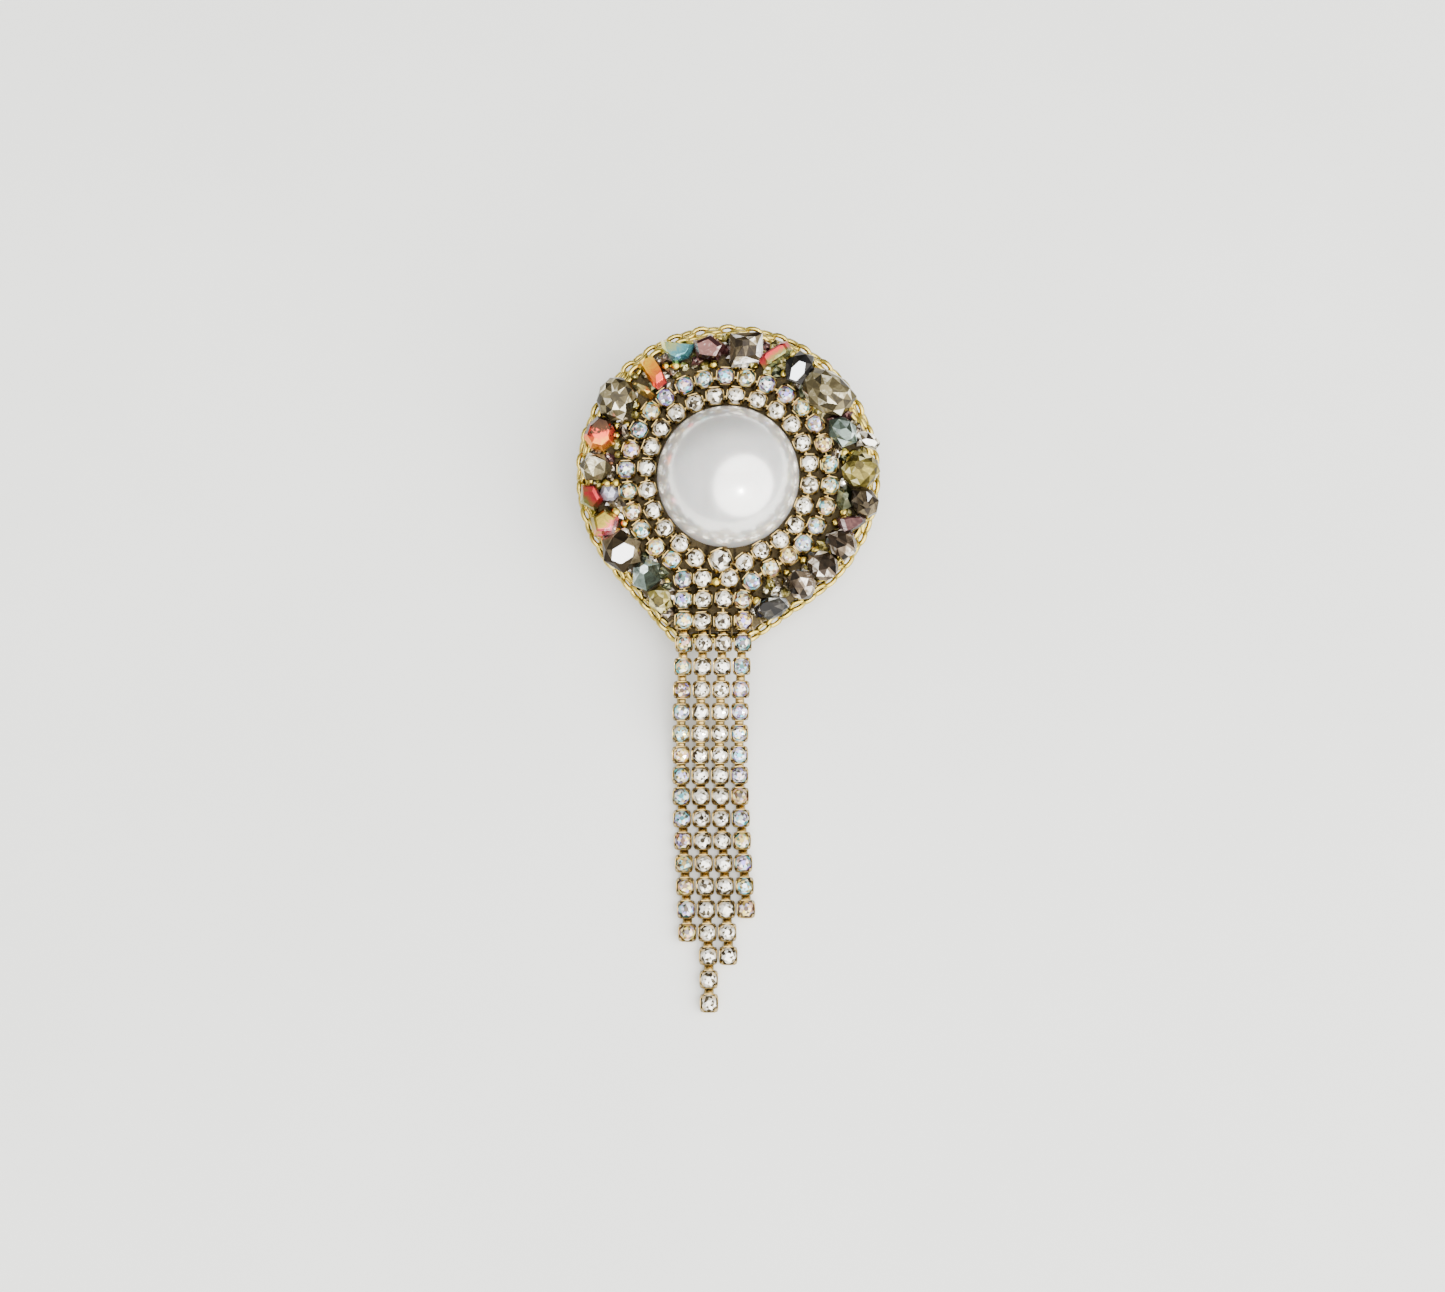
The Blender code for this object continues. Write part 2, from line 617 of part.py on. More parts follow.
def add_spring(disc):
    """The torsion spring: a coil round the pin, with a leg to the plate and one to the lever."""
    start, end = lever_outline()[:2]
    slope = math.atan2(end.y - start.y, end.x - start.x)
    first = math.pi / 2
    turns = SPRING_TURNS * 2 * math.pi + (math.pi + slope)
    count = round(turns / (2 * math.pi) * SPRING_STEPS)
    step = 2 * SPRING_WIRE + GAP / 2
    width = step * turns / (2 * math.pi)
    points = []
    for i in range(count + 1):
        angle = first + turns * i / count
        x = width * (i / count - 0.5)
        points.append(Vector((x, COIL_RADIUS * math.cos(angle), COIL_RADIUS * math.sin(angle))))
    upper = points[0] + Vector((0, SPRING_LEG, 0))
    lower = points[-1] + Vector((0, math.cos(slope), math.sin(slope))) * SPRING_LEG
    points = [upper] + points + [lower]
    mesh = wire_mesh(points, SPRING_WIRE, resolution=1)
    add_piece("torsion_spring", mesh, "steel", disc, pivot_place())


def strand_path():
    """The side view of a strand in Y and Z, under the feet of its cups, from the last sewn cup.

    It runs on in the disc's plane past the first loose cup, comes down to the table on a
    cubic that starts at the disc's slope and ends flat, and then lies along the table.
    """
    down = Vector((-math.cos(DISC_TILT), -math.sin(DISC_TILT)))
    up = Vector((-math.sin(DISC_TILT), math.cos(DISC_TILT)))
    start = Vector((0, STAND)) + down * FIXED_END + up * GAP
    lip = start + down * CUP_PITCH * 1.5
    steps = 60
    path = [start]
    for i in range(steps + 1):
        t = i / steps
        level = 2 * t**3 - 3 * t**2 + 1
        lean = t**3 - 2 * t**2 + t
        z = lip.y * level - DRAPE_LENGTH * math.tan(DISC_TILT) * lean
        path.append(Vector((lip.x - DRAPE_LENGTH * t, z)))
    path.append(path[-1] - Vector((CUP_PITCH * max(STRAND_CUPS), 0)))
    return path


def strand_place(distance, x):
    """The world matrix at a distance along a strand: +Y back up the strand, +Z off its foot."""
    path = strand_path()
    lengths = [(b - a).length for a, b in zip(path, path[1:])]
    point, heading = at_length(path, lengths, distance)
    slope = math.atan2(-heading.y, -heading.x)
    return Matrix.Translation((x, point.x, point.y)) @ Matrix.Rotation(slope, 4, "X")


def add_strand(number, disc):
    """One strand: a link cup that sways, then three hinged runs of cups."""
    x = STRAND_X[number - 1]
    cups = STRAND_CUPS[number - 1]
    finish = "rainbow_stones" if number in (1, 4) else "clear_stones"
    lower = cups - 1 - UPPER_CUPS - MIDDLE_CUPS
    parent, first = disc, 1
    for part, count in (("link", 1), ("upper", UPPER_CUPS), ("middle", MIDDLE_CUPS), ("lower", lower)):
        name = f"strand_{number}_{part}"
        axis = strand_place((first - 0.5) * CUP_PITCH, x)
        hinge = axis @ Matrix.Translation((0, 0, WIRE_HEIGHT))
        parent = add_empty(f"{name}_axis", hinge, parent)
        places = [hinge.inverted() @ strand_place((first + i) * CUP_PITCH, x) for i in range(count)]
        add_chain(name, places, finish, parent)
        first += count


def centre_on_origin(frame):
    """Move everything so that the origin is at the middle of the bottom of the whole box."""
    bpy.context.view_layer.update()
    seen = bpy.context.evaluated_depsgraph_get()
    points = []
    for obj in PIECES.objects:
        if obj.type == "MESH":
            made = obj.evaluated_get(seen)
            points += [made.matrix_world @ vert.co for vert in made.data.vertices]
    low = Vector([min(p[i] for p in points) for i in range(3)])
    high = Vector([max(p[i] for p in points) for i in range(3)])
    frame.location -= Vector(((low.x + high.x) / 2, (low.y + high.y) / 2, low.z))


def build_clip():
    """Every piece, on the empties that carry them."""
    frame = add_empty("object_frame", Matrix())
    tilt = Matrix.Translation((0, 0, STAND)) @ Matrix.Rotation(DISC_TILT, 4, "X")
    disc = add_empty("disc_frame", tilt, frame)
    jaw = add_empty("clip_jaw_axis", tilt @ pivot_place(), disc)
    add_leather(disc)
    add_layer("stiffener_card", CARD_TOP, CARD_THICKNESS, "card", disc)
    add_layer("felt_base", 0, FELT_THICKNESS, "felt", disc)
    add_rim_chain(disc)
    add_pearl(disc)
    ring_chain("clear_ring_chain", 0, "clear_stones", disc)
    ring_chain("rainbow_ring_chain", 1, "rainbow_stones", disc)
    add_closing_stone(disc)
    add_mosaic(disc)
    add_clip_plate(disc)
    add_clip_jaw(jaw)
    add_pin(disc)
    add_spring(disc)
    for number in range(1, 5):
        add_strand(number, disc)
    centre_on_origin(frame)


clear_scene()
PIECES, TOOLS = make_collections()
build_clip()
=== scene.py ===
"""The looks of a rhinestone hair clip: a large pearl in two rings of set stones, a mosaic of cut
glass, a fine chain edge and a tassel of four strands, on an alligator clip.

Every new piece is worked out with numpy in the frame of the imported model, in metres.
"""

import json
import math

import bmesh
import bpy
import numpy as np
from bpy.props import FloatProperty, FloatVectorProperty, PointerProperty
from bpy.types import Operator, Panel, PropertyGroup
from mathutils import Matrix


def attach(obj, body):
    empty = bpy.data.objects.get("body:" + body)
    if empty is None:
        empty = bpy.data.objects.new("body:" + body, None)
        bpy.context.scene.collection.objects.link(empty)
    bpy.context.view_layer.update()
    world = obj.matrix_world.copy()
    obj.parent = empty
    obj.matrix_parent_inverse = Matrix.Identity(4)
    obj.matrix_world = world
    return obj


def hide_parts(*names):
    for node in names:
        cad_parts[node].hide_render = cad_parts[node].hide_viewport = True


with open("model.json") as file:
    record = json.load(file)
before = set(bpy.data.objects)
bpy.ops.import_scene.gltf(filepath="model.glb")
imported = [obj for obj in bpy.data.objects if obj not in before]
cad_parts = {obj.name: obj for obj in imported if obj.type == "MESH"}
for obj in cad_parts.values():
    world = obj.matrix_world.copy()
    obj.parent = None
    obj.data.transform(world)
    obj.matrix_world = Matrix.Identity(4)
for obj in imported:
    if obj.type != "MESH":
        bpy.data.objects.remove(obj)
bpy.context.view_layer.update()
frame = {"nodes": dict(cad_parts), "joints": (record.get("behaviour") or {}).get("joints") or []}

bl_info = {
    "name": "Rhinestone Hair Clip",
    "version": (1, 0, 0),
    "blender": (4, 5, 0),
    "location": "View3D > Sidebar > Hair Clip",
    "description": "Finished pieces and materials for a jewelled hair clip with a tassel",
    "category": "Object",
}

MM = 0.001
BEDDING = 0.05 * MM  # how far sewn stones and cups stand off the felt

# The rings and their legs
RING_GAP = 1.35 * MM  # from the pearl's edge to the middle of the first row of cups
RING_PITCH = 2.7 * MM
RING_GROWTH = 1.05  # how much wider the sewn cups are than the loose ones
LEFT_FILLET = 6.5 * MM  # how the clear chain turns into its left leg
RIGHT_FILLET = 8.0 * MM
RING_WIRE = 0.28 * MM  # radius of the wire under the sewn cups
RING_WIRE_HEIGHT = 0.5 * MM

# The tassel
STRAND_CUPS = (14, 17, 15, 13)  # from the left
# A strand's bodies and how many cups each has. The last has those that are left.
RUNS = (("link_cup", 1), ("upper_run", 4), ("middle_run", 4), ("lower_run", None))
WIRE_HEIGHT = 0.45 * MM  # the link bar's middle above the foot of the cups
DRAPE_LENGTH = 16.0 * MM  # over which a strand comes down to the table
DRIFT = 0.5 * MM  # how far a strand bows to the left
DRIFT_LENGTH = 30 * MM  # half a wave of that bow
BAR_RADIUS = 0.26 * MM  # half the height of a link bar
BAR_WIDENING = 2.2  # its width over its height
BAR_REACH = 0.62  # its length as a share of the cups' pitch

# The seams, the edge and the clip
STITCHES = 84
# Each row of the edge chain: how far it is outside the felt's edge and above the cord's middle
LOWER_ROW = (0.75 * MM, 0.15 * MM)
UPPER_ROW = (-0.3 * MM, 1.05 * MM)
TONGUE_START = -13 * MM  # how far down the disc the upper row goes
LINK_STEP = 0.66  # from one link to the next, as a share of its length
LINK_TIPS = (-42, 48)  # degrees that the links are tipped, in turn
SPRING_WIRE = 0.3 * MM  # radius of the spring's wire
SPRING_RADIUS = 1.4 * MM  # from the pin's axis to the wire's middle
SPRING_TURNS = 4
SPRING_LEG = 6.2 * MM
SPRING_OVERLAP = 45  # degrees of the coil that ride on the jaw with its leg
LEVER_FALL = math.radians(20.2)  # how far the lever leans away from the disc
ROLLED_EDGE = 0.1 * MM  # how far the edges of the clip's sheets are rounded


# ---------------------------------------------------------------- the frame


def joint(name):
    return next(j for j in frame["joints"] if j["name"] == name)


def joint_point(name):
    return np.array(joint(name)["pos_m"], float)


def node_points(node):
    """A CAD node's vertices, as rows of x, y, z."""
    mesh = frame["nodes"][node].data
    points = np.empty(len(mesh.vertices) * 3)
    mesh.vertices.foreach_get("co", points)
    return points.reshape(-1, 3)


def disc_axes():
    """The disc's own axes as columns: X, up the disc, and out of its face."""
    out = np.array(joint("strand_1_sway")["axis"], float)
    out /= np.linalg.norm(out)
    along = np.cross(out, (1.0, 0.0, 0.0))
    return np.column_stack(((1.0, 0.0, 0.0), along, out))


def disc_frame():
    """The matrix from disc coordinates, whose origin is under the pearl's middle on the felt."""
    axes = disc_axes()
    pearl = node_points("pearl_cabochon") @ axes
    felt = node_points("felt_base") @ axes
    middle = (pearl.min(axis=0) + pearl.max(axis=0)) / 2
    middle[2] = felt[:, 2].max()
    place = np.eye(4)
    place[:3, :3] = axes
    place[:3, 3] = axes @ middle
    return place


DISC = disc_frame()


def to_world(points, place=DISC):
    return points @ place[:3, :3].T + place[:3, 3]


def to_disc(points):
    return (points - DISC[:3, 3]) @ DISC[:3, :3]


# ---------------------------------------------------------------- shapes


def turned(profile, sides, stretch=None):
    """A surface of revolution: at angle a and profile point k the place is the profile's
    radius times cos a and sin a, and the profile's height. A radius of zero is one point.
    stretch(angles, k) may give factors of the radius and a rise at each angle.
    """
    points, rings = [], []
    angles = np.arange(sides) * 2 * math.pi / sides
    count = 0
    for k, (radius, height) in enumerate(profile):
        if radius == 0:
            points.append([[0.0, 0.0, height]])
            rings.append(np.full(sides, count))
            count += 1
            continue
        grow, rise = stretch(angles, k) if stretch else (1.0, 0.0)
        r = radius * np.broadcast_to(grow, angles.shape)
        z = height + np.broadcast_to(rise, angles.shape)
        points.append(np.column_stack((r * np.cos(angles), r * np.sin(angles), z)))
        rings.append(count + np.arange(sides))
        count += sides
    faces = []
    for low, high in zip(rings, rings[1:]):
        quads = np.column_stack((low, np.roll(low, -1), np.roll(high, -1), high))
        if low[0] == low[1]:
            quads = quads[:, (0, 2, 3)]
        elif high[0] == high[1]:
            quads = quads[:, (0, 1, 2)]
        faces += quads.tolist()
    return np.concatenate(points), faces


def cut_stone(outline, levels):
    """A cut stone: its closed outline, scaled and lifted at each level and closed at both
    ends. A level is (scale, height, turn): where the turn changes, by half a step of the
    outline, the band between is made of triangles, and elsewhere of flat four-sided facets.
    """
    n = len(outline)
    half = (outline + np.roll(outline, -1, axis=0)) / 2
    points = []
    for scale, height, turn in levels:
        ring = (half if turn else outline) * scale
        points.append(np.column_stack((ring, np.full(n, height))))
    at = np.arange(n)
    after = (at + 1) % n
    faces = [at[::-1].tolist()]
    for k in range(len(levels) - 1):
        low, high = k * n, (k + 1) * n
        if levels[k][2] == levels[k + 1][2]:
            band = np.column_stack((low + at, low + after, high + after, high + at)).tolist()
        elif levels[k + 1][2]:
            band = np.column_stack((low + at, low + after, high + at)).tolist()
            band += np.column_stack((low + after, high + after, high + at)).tolist()
        else:
            band = np.column_stack((low + at, high + after, high + at)).tolist()
            band += np.column_stack((low + at, low + after, high + after)).tolist()
        faces += band
    faces.append(((len(levels) - 1) * n + at).tolist())
    return np.concatenate(points), faces


def tube(path, radius, sides, closed=False, across=None):
    """A round bar along a path: at each point the ring's two directions are the path's
    heading crossed with the direction across, and that crossed with the heading again.
    """
    path = np.asarray(path, float)
    if closed:
        heading = np.roll(path, -1, axis=0) - np.roll(path, 1, axis=0)
    else:
        heading = np.gradient(path, axis=0)
    heading /= np.linalg.norm(heading, axis=1)[:, None]
    across = np.array((0.0, 0.0, 1.0)) if across is None else np.asarray(across, float)
    side = np.cross(heading, across)
    side /= np.linalg.norm(side, axis=1)[:, None]
    up = np.cross(side, heading)
    a = np.arange(sides) * 2 * math.pi / sides
    ring = np.cos(a)[None, :, None] * side[:, None] + np.sin(a)[None, :, None] * up[:, None]
    points = (path[:, None] + radius * ring).reshape(-1, 3)
    n = len(path)
    k = np.arange(n if closed else n - 1)[:, None] * sides
    j = np.arange(sides)[None, :]
    low, low_next = k + j, k + (j + 1) % sides
    high, high_next = (low + sides) % (n * sides), (low_next + sides) % (n * sides)
    quads = np.stack((low, high, high_next, low_next), axis=-1).reshape(-1, 4)
    faces = quads.tolist()
    if not closed:
        faces.append(np.arange(sides).tolist())
        faces.append(((n - 1) * sides + np.arange(sides)[::-1]).tolist())
    return points, faces


def stamp(shape, places):
    """Copies of a shape at each of the 4 by 4 places, as one set of points and faces, and
    which copy each face belongs to.
    """
    points, faces = shape
    places = np.asarray(places, float)
    copies = np.einsum("mij,nj->mni", places[:, :3, :3], points) + places[:, None, :3, 3]
    every = []
    for copy in range(len(places)):
        shift = copy * len(points)
        every += [[shift + i for i in face] for face in faces]
    owner = np.repeat(np.arange(len(places)), len(faces))
    return (copies.reshape(-1, 3), every), owner


def joined(shapes):
    """Several shapes as one set of points and faces, and which shape each face belongs to."""
    points, faces, owner, shift = [], [], [], 0
    for number, (some, faces_of) in enumerate(shapes):
        points.append(some)
        faces += [[shift + i for i in face] for face in faces_of]
        owner += [number] * len(faces_of)
        shift += len(some)
    return (np.concatenate(points), faces), np.array(owner)


def add_piece(name, shape, material, body, smooth=True, sharp=None):
    """A mesh object of the shape, with the given material, which rides on a body."""
    points, faces = shape
    mesh = bpy.data.meshes.new(name)
    mesh.from_pydata(np.asarray(points).tolist(), [], faces)
    mesh.polygons.foreach_set("use_smooth", [smooth] * len(mesh.polygons))
    mesh.update()
    if smooth and sharp is not None:
        mesh.set_sharp_from_angle(angle=math.radians(sharp))
    obj = bpy.data.objects.new(name, mesh)
    bpy.context.scene.collection.objects.link(obj)
    mesh.materials.append(material)
    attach(obj, body)
    return obj


def face_values(obj, name, values):
    """An attribute with one value for each face, which the materials read by its name."""
    layer = obj.data.attributes.new(name, "FLOAT", "FACE")
    layer.data.foreach_set("value", np.asarray(values, np.float32))


def facet_shades(obj, owner, seed):
    """A random shade and hue for each facet, and one random value for each whole stone. The glass
    materials turn each facet's shade into its tone with painted shade and painted reflection.
    """
    rng = np.random.default_rng(seed)
    face_values(obj, "facet", rng.random(len(owner)))
    face_values(obj, "hue", rng.random(len(owner)))
    face_values(obj, "stone", rng.random(owner.max() + 1)[owner])


def turn_z(angle):
    """A place at the origin, turned about Z."""
    place = np.eye(4)
    place[:2, :2] = ((math.cos(angle), -math.sin(angle)), (math.sin(angle), math.cos(angle)))
    return place


def moved(x, y, z):
    """A place that is only moved."""
    place = np.eye(4)
    place[:3, 3] = (x, y, z)
    return place


def grown(x, y, z=1.0):
    """A place at the origin, stretched along each axis."""
    return np.diag((x, y, z, 1.0))


def along_path(path, distances):
    """Points and headings at distances along a path of straight steps."""
    steps = np.diff(path, axis=0)
    lengths = np.linalg.norm(steps, axis=1)
    reach = np.concatenate(([0.0], np.cumsum(lengths)))
    k = np.clip(np.searchsorted(reach, distances, side="right") - 1, 0, len(steps) - 1)
    part = (distances - reach[k]) / lengths[k]
    return path[k] + part[:, None] * steps[k], steps[k] / lengths[k][:, None]


def path_length(path):
    return np.linalg.norm(np.diff(path, axis=0), axis=1).sum()


# ---------------------------------------------------------------- materials


def new_material(name):
    """A new node material, with its node tree and its shader."""
    material = bpy.data.materials.new(name)
    material.use_nodes = True
    tree = material.node_tree
    return material, tree, tree.nodes["Principled BSDF"]


def add_node(tree, kind, inputs=None, **settings):
    """A shader node with its settings. An input is a value, or a socket to link from."""
    node = tree.nodes.new(kind)
    for key, value in settings.items():
        setattr(node, key, value)
    for key, value in (inputs or {}).items():
        if isinstance(value, bpy.types.NodeSocket):
            tree.links.new(value, node.inputs[key])
        else:
            node.inputs[key].default_value = value
    return node


def set_shader(tree, shader, **inputs):
    """Sets the shader's sockets, whose names have _ for a space, or links them."""
    for key, value in inputs.items():
        socket = shader.inputs[key.replace("_", " ")]
        if isinstance(value, bpy.types.NodeSocket):
            tree.links.new(value, socket)
        else:
            socket.default_value = value


def ramp(tree, factor, stops):
    """A colour ramp of (position, colour) stops."""
    node = add_node(tree, "ShaderNodeValToRGB", {"Fac": factor})
    elements = node.color_ramp.elements
    elements[1].position, elements[1].color = stops[-1][0], (*stops[-1][1], 1)
    elements[0].position, elements[0].color = stops[0][0], (*stops[0][1], 1)
    for position, colour in stops[1:-1]:
        elements.new(position).color = (*colour, 1)
    return node.outputs["Color"]


def object_place(tree):
    return add_node(tree, "ShaderNodeTexCoord").outputs["Object"]


def noise(tree, scale, detail=3.0, roughness=0.5, distortion=0.0):
    place = object_place(tree)
    inputs = {"Vector": place, "Scale": scale, "Detail": detail, "Roughness": roughness}
    inputs["Distortion"] = distortion
    return add_node(tree, "ShaderNodeTexNoise", inputs).outputs["Fac"]


def bump(tree, shader, height, strength, distance):
    inputs = {"Height": height, "Strength": strength, "Distance": distance}
    node = add_node(tree, "ShaderNodeBump", inputs)
    tree.links.new(node.outputs["Normal"], shader.inputs["Normal"])


def mapped(tree, factor, low, high, start=0.0, stop=1.0):
    """A factor that runs from start to stop taken to the range from low to high."""
    inputs = {"Value": factor, "From Min": start, "From Max": stop, "To Min": low, "To Max": high}
    return add_node(tree, "ShaderNodeMapRange", inputs).outputs["Result"]


def attribute(tree, name):
    return add_node(tree, "ShaderNodeAttribute", attribute_name=name).outputs["Fac"]


def maths(tree, operation, first, second, clamp=False):
    node = add_node(tree, "ShaderNodeMath", {0: first, 1: second}, operation=operation)
    node.use_clamp = clamp
    return node.outputs["Value"]


def tones(tree, factor, colour, stops):
    """A ramp of one colour's own shades, from stops of (position, brightness)."""
    return ramp(tree, factor, [
        (position, tuple(min(1.0, c * bright) for c in colour)) for position, bright in stops
    ])


def metal_material(name, colour, roughness=0.2, grain=4000.0, uneven=0.38):
    """Plated metal: slightly cloudy colour and roughness, with a fine uneven surface."""
    material, tree, shader = new_material(name)
    stops = ((0.3, 1 - uneven), (0.55, 1), (0.8, 1 + uneven * 0.65))
    tint = tones(tree, noise(tree, grain * 0.2), colour, stops)
    worn = mapped(tree, noise(tree, grain * 0.4), roughness * 0.6, roughness * 1.5)
    set_shader(tree, shader, Base_Color=tint, Metallic=1.0, Roughness=worn)
    bump(tree, shader, noise(tree, grain), 0.25, 0.03 * MM)
    return material


def stone_material(name, stops, metallic):
    """Cut glass: each facet takes its own shade from the ramp, with streaks in it. The shades, from
    near black to near white, are partly the glass's own tone and partly painted shade and painted
    reflection in each facet. A grade, where a stone has one, adds to the shade across the whole
    stone.
    """
    material, tree, shader = new_material(name)
    streaks = mapped(tree, noise(tree, 700.0, 2.0, 0.6, 2.5), -STREAKING, STREAKING)
    shade_at = maths(tree, "ADD", attribute(tree, "facet"), attribute(tree, "grade"))
    factor = maths(tree, "ADD", shade_at, streaks, clamp=True)
    set_shader(tree, shader, Base_Color=ramp(tree, factor, stops), Metallic=metallic)
    rough = mapped(tree, factor, GLASS_ROUGHNESS, GLASS_ROUGHNESS * 2)
    set_shader(tree, shader, Roughness=rough, IOR=GLASS_IOR, Specular_IOR_Level=0.28)
    return material


def rainbow_material(name):
    """Foiled glass with a rainbow coat: the stone's value and a part of the facet's hue pick the
    colour, and the facet's shade the brightness, from near black to white, as painted shade and
    painted reflection on each facet.
    """
    material, tree, shader = new_material(name)
    spread = maths(tree, "MULTIPLY", attribute(tree, "hue"), 0.6)
    hue = maths(tree, "FRACT", maths(tree, "ADD", attribute(tree, "stone"), spread), 0.0)
    stops = [
        (0.0, (0.95, 0.7, 0.06)),
        (0.2, (1.0, 0.95, 0.75)),
        (0.38, (0.08, 0.6, 0.78)),
        (0.48, (0.95, 0.98, 1.0)),
        (0.62, (0.3, 0.22, 0.85)),
        (0.72, (0.95, 0.93, 0.95)),
        (0.88, (0.75, 0.36, 0.24)),
        (1.0, (0.85, 0.85, 0.25)),
    ]
    tint = ramp(tree, hue, stops)
    # The facets' painted light: a brightness from near black to white for each.
    stops = [(0.0, (0.04, 0.03, 0.02)), (0.3, (0.3, 0.26, 0.2)), (0.7, (1, 1, 1))]
    light = ramp(tree, attribute(tree, "facet"), stops)
    mix = add_node(tree, "ShaderNodeMix", data_type="RGBA", blend_type="MULTIPLY")
    mix.inputs["Factor"].default_value = 1.0
    tree.links.new(tint, mix.inputs["A"])
    tree.links.new(light, mix.inputs["B"])
    set_shader(tree, shader, Base_Color=mix.outputs["Result"], Metallic=0.4)
    set_shader(tree, shader, Roughness=0.07, IOR=GLASS_IOR)
    return material


def pearl_material(name, colour):
    """Pearl lacquer: cream to cool white in soft clouds under a clear gloss, with a sheen."""
    material, tree, shader = new_material(name)
    cloud = noise(tree, 140.0, 4.0, 0.6, 0.6)
    tint = tones(tree, cloud, colour, ((0.3, 0.88), (0.5, 1), (0.7, 1.12)))
    set_shader(tree, shader, Base_Color=tint, Metallic=0.65)
    set_shader(tree, shader, Roughness=mapped(tree, noise(tree, 260.0), 0.16, 0.26))
    set_shader(tree, shader, Coat_Weight=0.8, Coat_Roughness=0.06, Subsurface_Weight=0.15)
    set_shader(tree, shader, Subsurface_Scale=2.0 * MM, Sheen_Weight=0.2)
    bump(tree, shader, noise(tree, 420.0, 5.0), 0.08, 0.1 * MM)
    return material


def felt_material(name, colour):
    """Golden brown felt: short crossing fibres that lighten and darken it."""
    material, tree, shader = new_material(name)
    fibres = noise(tree, 2600.0, 6.0, 0.75, 1.5)
    tint = tones(tree, fibres, colour, ((0.3, 0.35), (0.5, 1), (0.72, 1.9)))
    set_shader(tree, shader, Base_Color=tint, Roughness=0.85)
    set_shader(tree, shader, Sheen_Weight=0.4, Sheen_Roughness=0.5)
    bump(tree, shader, fibres, 0.9, 0.15 * MM)
    return material


def leather_material(name, colour):
    """Split leather: a pebbled grain from cells, darker in its creases."""
    material, tree, shader = new_material(name)
    inputs = {"Vector": object_place(tree), "Scale": 2800.0}
    cells = add_node(tree, "ShaderNodeTexVoronoi", inputs, feature="DISTANCE_TO_EDGE")
    crease = mapped(tree, cells.outputs["Distance"], 0.0, 6.0)
    tint = tones(tree, crease, colour, ((0.0, 0.5), (0.25, 0.85), (1.0, 1.08)))
    set_shader(tree, shader, Base_Color=tint)
    set_shader(tree, shader, Roughness=mapped(tree, noise(tree, 900.0), 0.5, 0.75))
    bump(tree, shader, crease, 0.6, 0.12 * MM)
    return material


def card_material(name):
    """Pulp card with faint fibres."""
    material, tree, shader = new_material(name)
    fibres = noise(tree, 1200.0, 6.0, 0.7)
    stops = [(0.35, (0.66, 0.62, 0.54)), (0.65, (0.82, 0.79, 0.72))]
    set_shader(tree, shader, Base_Color=ramp(tree, fibres, stops), Roughness=0.9)
    bump(tree, shader, fibres, 0.4, 0.05 * MM)
    return material


def thread_material(name, colour):
    """Twisted sewing thread: fine light and dark bands."""
    material, tree, shader = new_material(name)
    inputs = {"Vector": object_place(tree), "Scale": 900.0, "Distortion": 2.0}
    twist = add_node(tree, "ShaderNodeTexWave", inputs).outputs["Fac"]
    tint = tones(tree, twist, colour, ((0.2, 0.55), (0.8, 1.2)))
    set_shader(tree, shader, Base_Color=tint, Roughness=0.6, Sheen_Weight=0.3)
    bump(tree, shader, twist, 0.5, 0.05 * MM)
    return material


def floor_material(name, colour):
    """A pale painted board: almost plain, with the slightest unevenness."""
    material, tree, shader = new_material(name)
    tint = tones(tree, noise(tree, 14.0, 4.0, 0.6), colour, ((0.35, 0.965), (0.65, 1.02)))
    set_shader(tree, shader, Base_Color=tint, Roughness=0.75)
    bump(tree, shader, noise(tree, 260.0, 5.0), 0.12, 0.2 * MM)
    return material
